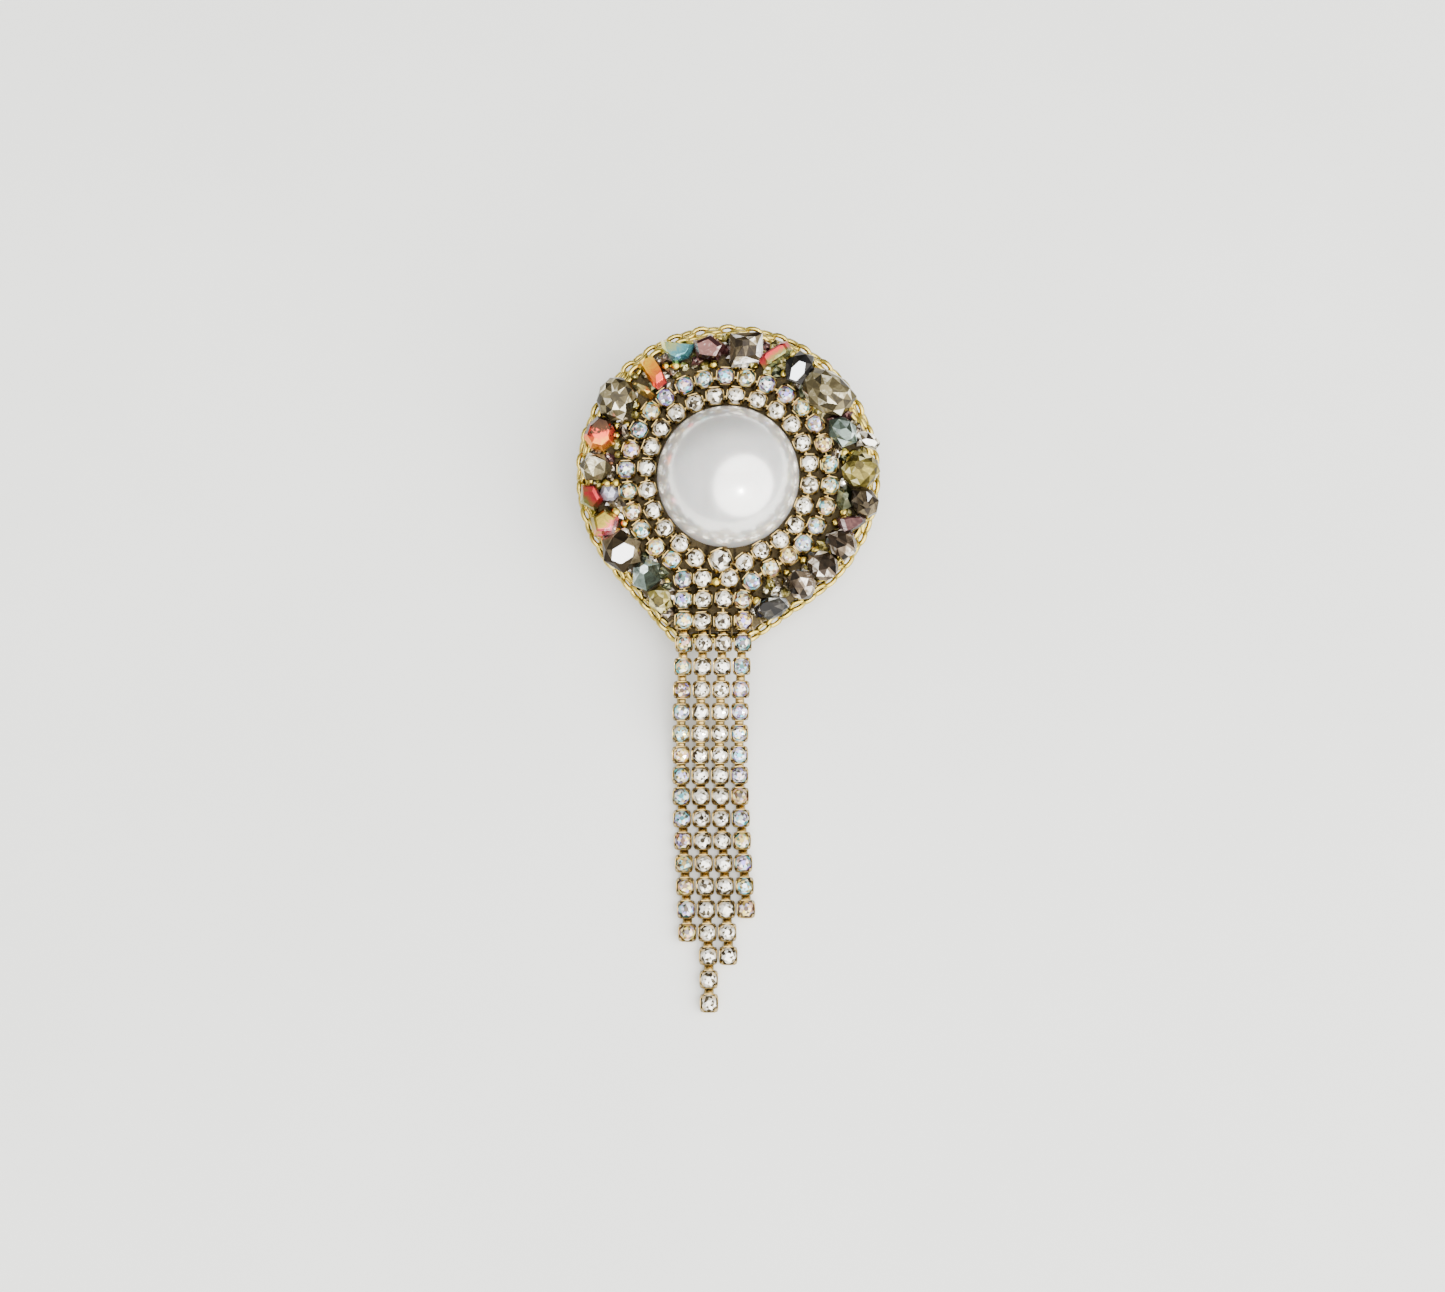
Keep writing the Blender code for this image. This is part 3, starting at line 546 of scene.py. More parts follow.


# The shades of each kind of cut glass, from the darkest facet to the brightest: partly the
# glass's own tone and partly painted shade and painted reflection, up to the painted highlight at
# the top.
GLASS = {
    "clear_crystal": [
        (0.0, (0.015, 0.01, 0.005)), (0.24, (0.1, 0.08, 0.045)),
        (0.42, (0.72, 0.68, 0.56)), (0.62, (1, 0.97, 0.88)),
    ],
    "ice": [
        (0.0, (0.01, 0.006, 0.003)), (0.5, (0.05, 0.035, 0.016)),
        (0.8, (0.24, 0.19, 0.11)), (1.0, (1, 1, 1)),
    ],
    "smoke_crystal": [
        (0.0, (0.016, 0.012, 0.005)), (0.45, (0.085, 0.066, 0.028)),
        (0.8, (0.25, 0.21, 0.11)), (1.0, (0.8, 0.75, 0.58)),
    ],
    "black_diamond_crystal": [
        (0.0, (0.006, 0.004, 0.002)), (0.45, (0.035, 0.022, 0.012)),
        (0.78, (0.17, 0.125, 0.08)), (1.0, (0.95, 0.88, 0.78)),
    ],
    "jet_crystal": [
        (0.0, (0.002, 0.002, 0.002)), (0.5, (0.012, 0.01, 0.008)),
        (0.82, (0.06, 0.055, 0.045)), (1.0, (0.9, 0.95, 1)),
    ],
    "plum_crystal": [
        (0.0, (0.008, 0.002, 0.002)), (0.5, (0.04, 0.012, 0.012)),
        (0.85, (0.14, 0.06, 0.05)), (1.0, (0.6, 0.5, 0.48)),
    ],
    "olive_crystal": [
        (0.0, (0.025, 0.018, 0.002)), (0.4, (0.11, 0.085, 0.014)),
        (0.75, (0.28, 0.23, 0.055)), (1.0, (0.8, 0.75, 0.42)),
    ],
    "sunset_crystal": [
        (0.0, (0.35, 0.02, 0.05)), (0.3, (0.7, 0.07, 0.04)),
        (0.55, (0.85, 0.26, 0.01)), (1.0, (0.9, 0.6, 0.03)),
    ],
    "coral_crystal": [
        (0.0, (0.01, 0.005, 0.003)), (0.42, (0.05, 0.022, 0.01)),
        (0.5, (0.75, 0.07, 0.04)), (1.0, (0.7, 0.33, 0.03)),
    ],
    "honey_crystal": [
        (0.0, (0.3, 0.12, 0.03)), (0.4, (0.6, 0.4, 0.09)),
        (1.0, (0.75, 0.75, 0.4)),
    ],
    "blush_crystal": [
        (0.0, (0.05, 0.04, 0.006)), (0.5, (0.3, 0.22, 0.025)),
        (0.68, (0.7, 0.06, 0.12)), (1.0, (1, 0.75, 0.78)),
    ],
    "pine_crystal": [
        (0.0, (0.004, 0.006, 0.002)), (0.5, (0.035, 0.042, 0.018)),
        (1.0, (0.35, 0.37, 0.22)),
    ],
    "rose_crystal": [
        (0.0, (0.06, 0.006, 0.004)), (0.4, (0.38, 0.025, 0.03)),
        (0.7, (0.14, 0.13, 0.03)), (1.0, (0.42, 0.48, 0.25)),
    ],
    "teal_crystal": [
        (0.0, (0.012, 0.014, 0.007)), (0.4, (0.06, 0.08, 0.06)),
        (0.75, (0.2, 0.26, 0.23)), (1.0, (0.7, 0.82, 0.8)),
    ],
    "lilac_crystal": [
        (0.0, (0.1, 0.085, 0.1)), (0.5, (0.34, 0.33, 0.42)),
        (1.0, (0.85, 0.86, 1)),
    ],
    "opal_crystal": [
        (0.0, (0.03, 0.14, 0.17)), (0.35, (0.16, 0.46, 0.5)),
        (0.7, (0.6, 0.62, 0.2)), (1.0, (0.9, 0.85, 0.5)),
    ],
}
# The streaks are partly the glass's own streaks and partly painted reflection.
STREAKING = 0.28  # how far streaks in the glass move a facet's shade
GLASS_ROUGHNESS = 0.05
GLASS_IOR = 1.6

# The glasses with a coloured metal coat, which shine more than the foiled ones.
COATED = (
    "sunset_crystal", "coral_crystal", "honey_crystal", "blush_crystal", "rose_crystal",
    "opal_crystal",
)
COATED_METALLIC = 0.8
FOILED_METALLIC = 0.55


def glass(name):
    """The material of one kind of cut glass, made once."""
    made = bpy.data.materials.get(f"cut_{name}")
    metallic = COATED_METALLIC if name in COATED else FOILED_METALLIC
    return made or stone_material(f"cut_{name}", GLASS[name], metallic)


def colour_of(name):
    return tuple(getattr(bpy.context.scene.hair_clip_colours, name))


def size_of(name):
    return getattr(bpy.context.scene.hair_clip_sizes, name)


def plating(name, colour, **finish):
    """The material of one of the plated metals, made once."""
    made = bpy.data.materials.get(name)
    return made or metal_material(name, colour_of(colour), **finish)


def cup_gold():
    return plating("cup_gold", "cup_gold", roughness=0.22)


def chain_gold():
    return plating("chain_gold", "chain_gold")


def steel():
    return plating("plated_steel", "steel", grain=2500.0, uneven=0.08)


# ---------------------------------------------------------------- the disc's plan


def outward(ring):
    """Unit normals of a closed outline: its heading at each point, turned to the right."""
    heading = np.roll(ring, -1, axis=0) - np.roll(ring, 1, axis=0)
    heading /= np.linalg.norm(heading, axis=1)[:, None]
    return np.column_stack((heading[:, 1], -heading[:, 0]))


def felt_outline(count=240, grow=0.0):
    """The felt's outline in disc coordinates: the CAD node's upper edge points by bearing,
    evenly spaced again along their length, and moved out along their normals.
    """
    points = to_disc(node_points("felt_base"))
    upper = points[:, 2] > -0.1 * MM
    edge = np.unique(np.round(points[upper, :2], 7), axis=0)
    middle = (edge.min(axis=0) + edge.max(axis=0)) / 2
    order = np.argsort(np.arctan2(*(edge - middle).T[::-1]))
    ring = edge[order]
    ring = np.vstack((ring, ring[:1]))
    even, _ = along_path(ring, np.arange(count) * path_length(ring) / count)
    return even + grow * outward(even)


def strand_x():
    """Each strand's X in disc coordinates, from the left."""
    return [joint_point(f"strand_{i}_sway")[0] - DISC[0, 3] for i in range(1, 5)]


def sewn_end():
    """How far down the disc the last sewn cups are: one pitch above the first loose ones."""
    first = to_disc(joint_point("strand_1_sway")[None])[0, 1]
    return first + cup_pitch() / 2


def cup_pitch():
    """From one cup of a strand to the next, as between its first two hinges."""
    return np.linalg.norm(joint_point("strand_1_upper_bend") - joint_point("strand_1_sway"))


def arc(centre, radius, start, stop):
    """Points of a circle from one angle to another."""
    a = np.linspace(start, stop, 60)
    return np.column_stack((centre[0] + radius * np.cos(a), centre[1] + radius * np.sin(a)))


def ring_path(rows_out):
    """A ring with two legs, so many rows out: up the left leg, over the pearl clockwise and
    down the right leg, with an arc that bends each leg into the ring.
    """
    x = strand_x()
    row = x[1] - x[0]
    pearl = np.ptp(node_points("pearl_cabochon")[:, 0]) / 2
    radius = pearl + RING_GAP + rows_out * row
    left_fillet, right_fillet = LEFT_FILLET - rows_out * row, RIGHT_FILLET - rows_out * row
    left_x, right_x = x[1] - rows_out * row, x[2] + rows_out * row
    left = np.array((left_x - left_fillet, 0.0))
    right = np.array((right_x + right_fillet, 0.0))
    left[1] = -math.sqrt((radius + left_fillet) ** 2 - left[0] ** 2)
    right[1] = -math.sqrt((radius + right_fillet) ** 2 - right[0] ** 2)
    from_left = math.atan2(-left[1], -left[0])
    from_right = math.atan2(-right[1], -right[0])
    pieces = (
        np.array(((left_x, sewn_end()),)),
        arc(left, left_fillet, 0, from_left),
        arc((0, 0), radius, from_left + math.pi, from_right - math.pi)[1:],
        arc(right, right_fillet, from_right, math.pi)[1:],
        np.array(((right_x, sewn_end()),)),
    )
    return np.concatenate(pieces)


def ring_places(rows_out, seed):
    """The places of a ring's cups in the world, each a little out of true."""
    path = ring_path(rows_out)
    count = round(path_length(path) / RING_PITCH)
    points, headings = along_path(path, np.linspace(0, path_length(path), count + 1))
    rng = np.random.default_rng(seed)
    places = []
    for (x, y), (along, up) in zip(points, headings):
        lean = rng.normal(0, 0.05, 3)
        turn = turn_z(math.atan2(up, along) + lean[0])
        turn[:3, 2] += (lean[1], lean[2], 0)
        places.append(DISC @ moved(x, y, BEDDING) @ turn @ grown(RING_GROWTH, RING_GROWTH))
    return places


def strand_side():
    """A strand's side view in Y and Z under the feet of its cups, from its first axis: along
    the disc's plane for one pitch, down a cubic that ends flat on the table, and along it.
    """
    up = DISC[1:3, 2]
    down = -DISC[1:3, 1]
    start = joint_point("strand_1_sway")[1:] - up * WIRE_HEIGHT
    lip = start + down * cup_pitch()
    t = np.linspace(0, 1, 61)
    level = 2 * t**3 - 3 * t**2 + 1
    lean = t**3 - 2 * t**2 + t
    slope = down[1] / -down[0]
    z = lip[1] * level + DRAPE_LENGTH * slope * lean
    fall = np.column_stack((lip[0] - DRAPE_LENGTH * t, z))
    end = fall[-1] - (cup_pitch() * max(STRAND_CUPS), 0)
    return np.vstack((start, fall, end))


def strand_places(number):
    """Each body of a strand with the places of its cups: +X across, +Z off the foot."""
    x = joint_point(f"strand_{number}_sway")[0]
    side = strand_side()
    total = STRAND_CUPS[number - 1]
    pitch = cup_pitch()
    points, headings = along_path(side, (np.arange(total) + 0.5) * pitch)
    rng = np.random.default_rng(40 + number)
    drift = -DRIFT * np.sin(math.pi * np.arange(total) * pitch / DRIFT_LENGTH)
    places = []
    for (y, z), (dy, dz), aside in zip(points, headings, drift):
        place = np.eye(4)
        place[:3, 1] = (0, -dy, -dz)
        place[:3, 2] = (0, dz, -dy)
        place[:3, 3] = (x + aside, y, z)
        places.append(place @ turn_z(rng.normal(0, 0.01)))
    runs, first = {}, 0
    for part, count in RUNS:
        count = total - first if count is None else count
        runs[f"strand_{number}_{part}"] = places[first : first + count]
        first += count
    return runs


# ---------------------------------------------------------------- set stones


# The cup's wall from its foot over the rim to its floor: radius as a share of half the cup's
# side, height in mm, and how far the corners lean in and rise there to be prongs.
CUP_WALL = (
    (0.7, 0.0, 0.0, 0.0),
    (0.86, 0.25, 0.0, 0.0),
    (0.98, 1.15, 0.05, 0.5),
    (0.96, 1.38, 0.27, 1.0),
    (0.88, 1.36, 0.27, 1.0),
    (0.78, 0.7, 0.0, 0.0),
)
CUP_FLOOR = 0.6 * MM
CUP_SQUARENESS = 9  # the power that makes the cup's section a rounded square
STONE_FOOT = 0.75 * MM  # the foot of a stone above the foot of its cup
CROWN = 0.42 * MM  # the unit of the heights of its facets

# The stone that closes the rings: its cup and radius over a strand's, its foot and crown
CLOSING_CUP = (1.32, 1.32, 1.15)
CLOSING_RADIUS = 1.36
CLOSING_FOOT = 0.8 * MM
CLOSING_CROWN = 0.55 * MM


def cup_shape():
    """A four-prong cup: a turned wall whose section is a rounded square, and whose rim rises
    and leans in at the four corners as a power of the cosine of four times the angle.
    """
    half = size_of("cup_side") / 2
    prong = size_of("prong_rise")

    def stretch(angles, k):
        power = CUP_SQUARENESS
        square = (np.abs(np.cos(angles)) ** power + np.abs(np.sin(angles)) ** power) ** (-1 / power)
        corner = np.maximum(0, -np.cos(4 * angles)) ** 3
        _, _, lean, rise = CUP_WALL[k - 1]
        return square * (1 - lean * corner), prong * rise * corner

    wall = [(half * share, height * MM) for share, height, _, _ in CUP_WALL]
    return turned([(0, 0), *wall, (0, CUP_FLOOR)], 24, stretch)


def round_outline(sides, turn=0.0):
    """The corners of a regular shape in a circle of radius 1."""
    a = np.arange(sides) * 2 * math.pi / sides + turn
    return np.column_stack((np.cos(a), np.sin(a)))


def brilliant_shape(radius, foot, crown):
    """A round brilliant above its setting: eight sides to the girdle, and then half-turned
    bands of triangles up to a small flat table.
    """
    outline = round_outline(8) * radius
    levels = [(1.0, foot, 0), (1.0, foot + crown * 0.9, 0), (0.88, foot + crown * 1.5, 1)]
    levels += [(0.6, foot + crown * 1.95, 0), (0.3, foot + crown * 2.1, 1)]
    return cut_stone(outline, levels)


def add_set_stones(name, places, body, rainbow, seed, replaced):
    """Cups and their stones at the places: one piece of metal and one of glass."""
    cups, _ = stamp(cup_shape(), places)
    metal = add_piece(f"{name}_cups", cups, cup_gold(), body, sharp=40)
    shape = brilliant_shape(size_of("stone_radius"), STONE_FOOT, CROWN)
    stones, owner = stamp(shape, places)
    if rainbow:
        material = bpy.data.materials.get("rainbow_glass") or rainbow_material("rainbow_glass")
    else:
        material = glass("clear_crystal")
    gems = add_piece(f"{name}_stones", stones, material, body, smooth=False)
    facet_shades(gems, owner, seed)
    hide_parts(replaced)


class HAIRCLIP_OT_ring_stones(Operator):
    """Two rings of set stones round the pearl, their sewn legs, and the stone that closes them"""

    bl_idname = "hair_clip.ring_stones"
    bl_label = "Ring Stones"

    def execute(self, context):
        add_set_stones("clear_ring", ring_places(0, 3), "disc", False, 11, "clear_ring_chain")
        add_set_stones("rainbow_ring", ring_places(1, 4), "disc", True, 12, "rainbow_ring_chain")
        self.add_wires()
        self.add_closing_stone()
        return {"FINISHED"}

    def add_wires(self):
        """The gold wire that joins the cups of each ring, along the ring's own path."""
        shapes = []
        for rows_out in (0, 1):
            path = ring_path(rows_out)
            steps = np.linalg.norm(np.diff(path, axis=0), axis=1)
            path = path[np.concatenate(([True], steps > 0.01 * MM))]
            flat = np.column_stack((path, np.full(len(path), RING_WIRE_HEIGHT)))
            shapes.append(tube(flat, RING_WIRE, 6))
        (points, faces), _ = joined(shapes)
        add_piece("ring_wires", (to_world(points), faces), cup_gold(), "disc")

    def add_closing_stone(self):
        """The larger stone under the pearl where the rings meet: a grown cup and brilliant."""
        points = to_disc(node_points("closing_stone"))
        x, y, _ = (points.min(axis=0) + points.max(axis=0)) / 2
        place = DISC @ moved(x, y, BEDDING) @ turn_z(math.pi / 8)
        cup, _ = stamp(cup_shape(), [place @ grown(*CLOSING_CUP)])
        metal = add_piece("closing_stone_cup", cup, cup_gold(), "disc", sharp=40)
        radius = size_of("stone_radius") * CLOSING_RADIUS
        shape = brilliant_shape(radius, CLOSING_FOOT, CLOSING_CROWN)
        made, owner = stamp(shape, [place])
        material = glass("clear_crystal")
        gem = add_piece("closing_stone_gem", made, material, "disc", smooth=False)
        facet_shades(gem, owner, 21)
        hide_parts("closing_stone")


class HAIRCLIP_OT_tassel(Operator):
    """Four strands of set stones, each run riding on its own body, with the links between"""

    bl_idname = "hair_clip.tassel"
    bl_label = "Tassel"

    def execute(self, context):
        """The outer two strands have the rainbow coat."""
        for number in range(1, 5):
            seed = 50 * number
            for body, places in strand_places(number).items():
                seed += 1
                node = body.replace("_cup", "").replace("_run", "")
                add_set_stones(node, places, body, number in (1, 4), seed, node)
                self.add_links(node, places, body)
        return {"FINISHED"}

    def add_links(self, node, places, body):
        """A short bar up from each cup's foot towards the cup before it."""
        along = np.linspace(0, cup_pitch() * BAR_REACH, 4)
        path = np.column_stack((np.zeros(4), along, np.full(4, WIRE_HEIGHT)))
        points, faces = tube(path, BAR_RADIUS, 6)
        links, _ = stamp((points * (BAR_WIDENING, 1, 1), faces), places)
        add_piece(f"{node}_links", links, cup_gold(), body)


# ---------------------------------------------------------------- the mosaic


def rectangle_outline(corner):
    """A rectangle of half sides 1 with its corners cut off."""
    c = 1 - corner
    return np.array(((1, -c), (1, c), (c, 1), (-c, 1), (-1, c), (-1, -c), (-c, -1), (c, -1)))


def half_moon_outline():
    """Half a circle, stretched upwards to fill the box."""
    a = np.linspace(0, math.pi, 9)
    return np.column_stack((np.cos(a), np.sin(a) * 1.7 - 0.75))


def spear_outline():
    """A long uneven shape with a blunt end."""
    return np.array(((-0.9, -0.8), (0.2, -1.0), (1.0, -0.3), (0.7, 0.9), (0.1, 1.0), (-0.7, 0.2)))


OUTLINES = {
    "oct": round_outline(8, math.pi / 8),
    "dec": round_outline(10),
    "hex": round_outline(6),
    "pent": round_outline(5, 0.3),
    "bar": rectangle_outline(0.3),
    "block": rectangle_outline(0.18),
    "moon": half_moon_outline(),
    "spear": spear_outline(),
}

# Levels of each cut in a box from -1 to 1: scale of the outline, height, and half-turn.
CUTS = {
    "bead": ((0.3, -1, 0), (0.8, -0.6, 1), (1, 0, 0), (0.82, 0.6, 1), (0.4, 1, 0)),
    "rock": (
        (0.5, -1, 0), (0.95, -0.4, 1), (1, 0.1, 0), (0.9, 0.5, 1), (0.62, 0.82, 0), (0.25, 1, 1),
    ),
    "step": ((0.8, -1, 0), (1, -0.3, 0), (0.98, 0.3, 0), (0.74, 0.85, 0), (0.6, 1, 0)),
    "ridge": ((0.85, -1, 0), (1, -0.3, 0), (0.55, 0.75, 0), (0.06, 1, 0)),
    "wedge": ((0.8, -1, 0), (1, -0.2, 0), (0.94, 0.4, 0), (0.62, 0.8, 1), (0.2, 1, 0)),
    "bicone": ((0.3, -1, 0), (1, -0.1, 0), (0.96, 0.1, 0), (0.3, 1, 0)),
    "mirror": ((0.6, -1, 0), (1, -0.3, 1), (0.98, 0.1, 0), (0.8, 0.6, 1), (0.5, 1, 0)),
    "drum": (
        (0.45, -1, 0), (0.85, -0.6, 1), (1, -0.1, 0), (1, 0.1, 0), (0.85, 0.6, 1), (0.45, 1, 0),
    ),
}

# Each stone of the mosaic: its glass, outline, cut, its own length and width as shares of its
# node's size along and across the band, how far it is turned in degrees, and then either the
# bearing in degrees along which its shade runs from dark to light, or "flash" for one facet
# painted bright as a highlight, the window's reflection.
STONES = {
    "plum_chip": ("plum_crystal", "pent", "step", 1.5, 1.4, -15, None),
    "opal_half_moon": ("opal_crystal", "moon", "step", 1.3, 1.2, 150, 110),
    "sunset_baton": ("sunset_crystal", "bar", "step", 1.05, 1.25, -3, 85),
    "honey_sliver": ("honey_crystal", "spear", "ridge", 1.3, 2.0, 20, 60),
    "grey_boulder": ("smoke_crystal", "dec", "rock", 1.5, 1.5, 20, None),
    "coral_cushion": ("coral_crystal", "oct", "step", 1.25, 1.25, 5, -160),
    "smoke_pebble": ("smoke_crystal", "hex", "bead", 1.4, 1.4, 30, None),
    "copper_chip": ("rose_crystal", "pent", "step", 1.5, 1.6, 20, 120),
    "lilac_bicone": ("lilac_crystal", "hex", "ridge", 1.4, 2.0, 30, None),
    "olive_rose_chip": ("blush_crystal", "pent", "step", 1.5, 1.4, 35, -155),
    "mink_facet": ("ice", "hex", "mirror", 1.4, 1.35, 25, "flash"),
    "teal_bicone": ("teal_crystal", "hex", "bicone", 1.5, 1.5, 15, None),
    "moss_chip": ("olive_crystal", "hex", "bead", 1.9, 1.9, 0, None),
    "ice_brick": ("ice", "block", "wedge", 1.35, 1.35, 12, None),
    "ruby_baton": ("rose_crystal", "bar", "step", 1.75, 0.5, 55, -35),
    "onyx_facet": ("jet_crystal", "hex", "mirror", 1.35, 1.3, 10, "flash"),
    "smoke_boulder": ("smoke_crystal", "dec", "rock", 1.3, 1.3, 15, None),
    "steel_pebble": ("teal_crystal", "hex", "bead", 1.45, 1.4, 30, None),
    "white_spear": ("clear_crystal", "spear", "mirror", 1.6, 1.9, 30, "flash"),
    "olive_pebble": ("olive_crystal", "dec", "rock", 1.45, 1.3, 10, None),
    "pine_bicone": ("pine_crystal", "hex", "bicone", 1.45, 1.9, 0, None),
    "ice_pebble": ("ice", "oct", "wedge", 1.4, 1.4, 40, "flash"),
    "mauve_crescent": ("plum_crystal", "moon", "step", 1.5, 1.3, 40, None),
    "diamond_rondelle_1": ("black_diamond_crystal", "dec", "drum", 1.15, 1.3, 0, None),
    "diamond_rondelle_2": ("black_diamond_crystal", "dec", "drum", 1.15, 1.3, 11, None),
    "diamond_rondelle_3": ("black_diamond_crystal", "dec", "drum", 1.15, 1.3, 22, None),
    "jet_round": ("jet_crystal", "oct", "bead", 1.3, 1.5, 0, None),
}


def cell_of(node):
    """A mosaic stone's middle, bearing, size along and across the band, and its top."""
    points = to_disc(node_points(node))
    middle = (points.min(axis=0) + points.max(axis=0)) / 2
    bearing = math.atan2(middle[1], middle[0]) - math.pi / 2
    size = np.ptp(points[:, :2] @ turn_z(bearing)[:2, :2], axis=0)
    return middle, bearing, size, points[:, 2].max()


def off_cups(flat, distance):
    """Whether each point of the disc's plane is farther than that from every sewn cup."""
    places = np.array(ring_places(0, 3) + ring_places(1, 3))
    cups = to_disc(places[:, :3, 3])[:, :2]
    return np.linalg.norm(flat[:, None] - cups[None], axis=2).min(axis=1) > distance


def off_stones(flat, share):
    """Whether each point is outside the given share of every mosaic stone's ellipse."""
    clear = np.ones(len(flat), bool)
    for node, (_, _, cut, wide, deep, degrees, _) in STONES.items():
        middle, bearing, size, _ = cell_of(node)
        spin = 0 if cut == "drum" else math.radians(degrees)
        local = (flat - middle[:2]) @ turn_z(bearing + spin)[:2, :2]
        clear &= ((local / (size * (wide, deep) / 2)) ** 2).sum(axis=1) > share
    return clear


def scattered(pitch, spread, rng):
    """Points of a grid over the felt, each moved a little, without those inside the rings."""
    edge = felt_outline()
    x, y = (np.arange(low, high, pitch) for low, high in zip(edge.min(axis=0), edge.max(axis=0)))
    flat = np.stack(np.meshgrid(x, y), axis=-1).reshape(-1, 2)
    flat += rng.normal(0, spread, flat.shape)
    inner = np.ptp(ring_path(1)[:, 0]) / 2
    return flat[np.linalg.norm(flat, axis=1) > inner]


def on_felt(flat, margin):
    """Whether each point is inside the felt's outline, by its reach at that bearing."""
    edge = felt_outline(240, -margin)
    middle = edge.mean(axis=0)
    bearing = np.arctan2(*(edge - middle).T[::-1])
    reach = np.linalg.norm(edge - middle, axis=1)
    order = np.argsort(bearing)
    at = np.arctan2(*(flat - middle).T[::-1])
    limit = np.interp(at, bearing[order], reach[order], period=2 * math.pi)
    return np.linalg.norm(flat - middle, axis=1) < limit


# The heading towards the window light, which picks the facet that gets the painted highlight.
WINDOW_HEADING = (0.3, -0.3, 1.0)  # from the disc


def painted_highlight_shades(shades, local, faces, bearing):
    """Darker shades with one painted highlight: the largest of those facets that face the window,
    by the area of each facet's box times how far its middle lies that way, is pushed past the
    ramp's brightest colour to paint the window's reflection.
    """
    centres = np.array([local[face].mean(axis=0) for face in faces])
    spans = np.array([np.ptp(local[face], axis=0)[:2].prod() for face in faces])
    facing = (centres - local.mean(axis=0)) @ (turn_z(-bearing)[:3, :3] @ WINDOW_HEADING)
    # Painted highlight: the other facets are dimmed and one is painted as the window's bright
    # reflection.
    shades = shades * 0.7
    shades[np.argmax(spans * np.maximum(facing, 0))] = 1.6
    return shades


def add_grade(obj, flat, degrees):
    """A grade from 0 to 0.85 across a stone, by how far each point lies along the bearing."""
    heading = np.array((math.cos(math.radians(degrees)), math.sin(math.radians(degrees))))
    grade = flat @ heading
    grade = (grade - grade.min()) / np.ptp(grade)
    layer = obj.data.attributes.new("grade", "FLOAT", "POINT")
    layer.data.foreach_set("value", grade.astype(np.float32) * 0.85)


class HAIRCLIP_OT_mosaic(Operator):
    """The band of cut stones round the rings, each in place of its plain solid"""

    bl_idname = "hair_clip.mosaic"
    bl_label = "Mosaic"

    def execute(self, context):
        for number, (node, words) in enumerate(STONES.items()):
            self.add_stone(node, *words, 300 + number)
        self.add_fillers()
        return {"FINISHED"}

    def add_fillers(self):
        """Small chips of the darker glasses wherever the band has room between the stones."""
        rng = np.random.default_rng(500)
        flat = scattered(1.5 * MM, 0.3 * MM, rng)
        flat = flat[on_felt(flat, 0.6 * MM) & off_cups(flat, 1.75 * MM) & off_stones(flat, 0.6)]
        kinds = ("black_diamond_crystal", "olive_crystal", "plum_crystal", "ice", "pine_crystal")
        chosen = rng.integers(0, len(kinds), len(flat))
        for number, kind in enumerate(kinds):
            shapes = []
            for x, y in flat[chosen == number]:
                outline = OUTLINES["pent"] * rng.normal(1, 0.12, (5, 1))
                points, faces = cut_stone(outline, CUTS["wedge"])
                half = rng.uniform((0.8, 0.7, 0.7), (1.25, 1.0, 1.1)) * MM
                place = DISC @ moved(x, y, half[2]) @ turn_z(rng.uniform(0, 6.3))
                shapes.append((to_world(points * half, place), faces))
            made, owner = joined(shapes)
            obj = add_piece(f"filler_{kind}", made, glass(kind), "disc", smooth=False)
            facet_shades(obj, owner, 510 + number)

    def add_stone(self, node, kind, outline, cut, wide, deep, degrees, light, seed):
        """One stone: its cut with an uneven outline and a shifted table, in its node's box,
        turned about the felt's normal and leaning a little as a plane over its foot.
        """
        rng = np.random.default_rng(seed)
        middle, bearing, size, top = cell_of(node)
        uneven = OUTLINES[outline] * rng.normal(1, 0.05, (len(OUTLINES[outline]), 1))
        points, faces = cut_stone(uneven, CUTS[cut])
        points[points[:, 2] > 0.95, :2] += rng.normal(0, 0.16, 2)
        spin = turn_z(math.radians(degrees))[:3, :3]
        if cut == "drum":
            points = points[:, (2, 0, 1)]
            spin = np.eye(3)
        half = np.array((size[0] * wide, size[1] * deep, top)) / 2
        local = (points * half) @ spin.T + (0, 0, half[2] + BEDDING)
        flat = local[:, :2].copy()
        local[:, 2] += flat @ rng.normal(0, 0.08, 2)
        if cut == "mirror":
            # The table is stretched, moved to one side, sunk and tipped to face the window.
            table = local[:, 2] > 0.85 * top
            aside = rng.choice((-1, 1)) * half[0] * 0.16
            local[table, :2] = flat[table] * (0.8, 1.25) + aside
            slope = turn_z(-bearing)[:2, :2] @ (-0.25, 0.3)
            local[table, 2] += local[table, :2] @ slope - 0.3 * MM
        place = DISC @ moved(*middle[:2], 0) @ turn_z(bearing)
        shape = (to_world(local, place), faces)
        obj = add_piece(f"{node}_cut", shape, glass(kind), "disc", smooth=False)
        shades = rng.random(len(faces))
        # A flash stone gets a painted highlight: one facet painted as the window's bright
        # reflection.
        if light == "flash":
            shades = painted_highlight_shades(shades, local, faces, bearing)
        elif light is not None:
            add_grade(obj, flat, light)
            shades *= 0.2
        face_values(obj, "facet", shades)
        bevel = obj.modifiers.new("worn_edges", "BEVEL")
        bevel.width = 0.04 * MM
        bevel.segments = 1
        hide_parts(node)


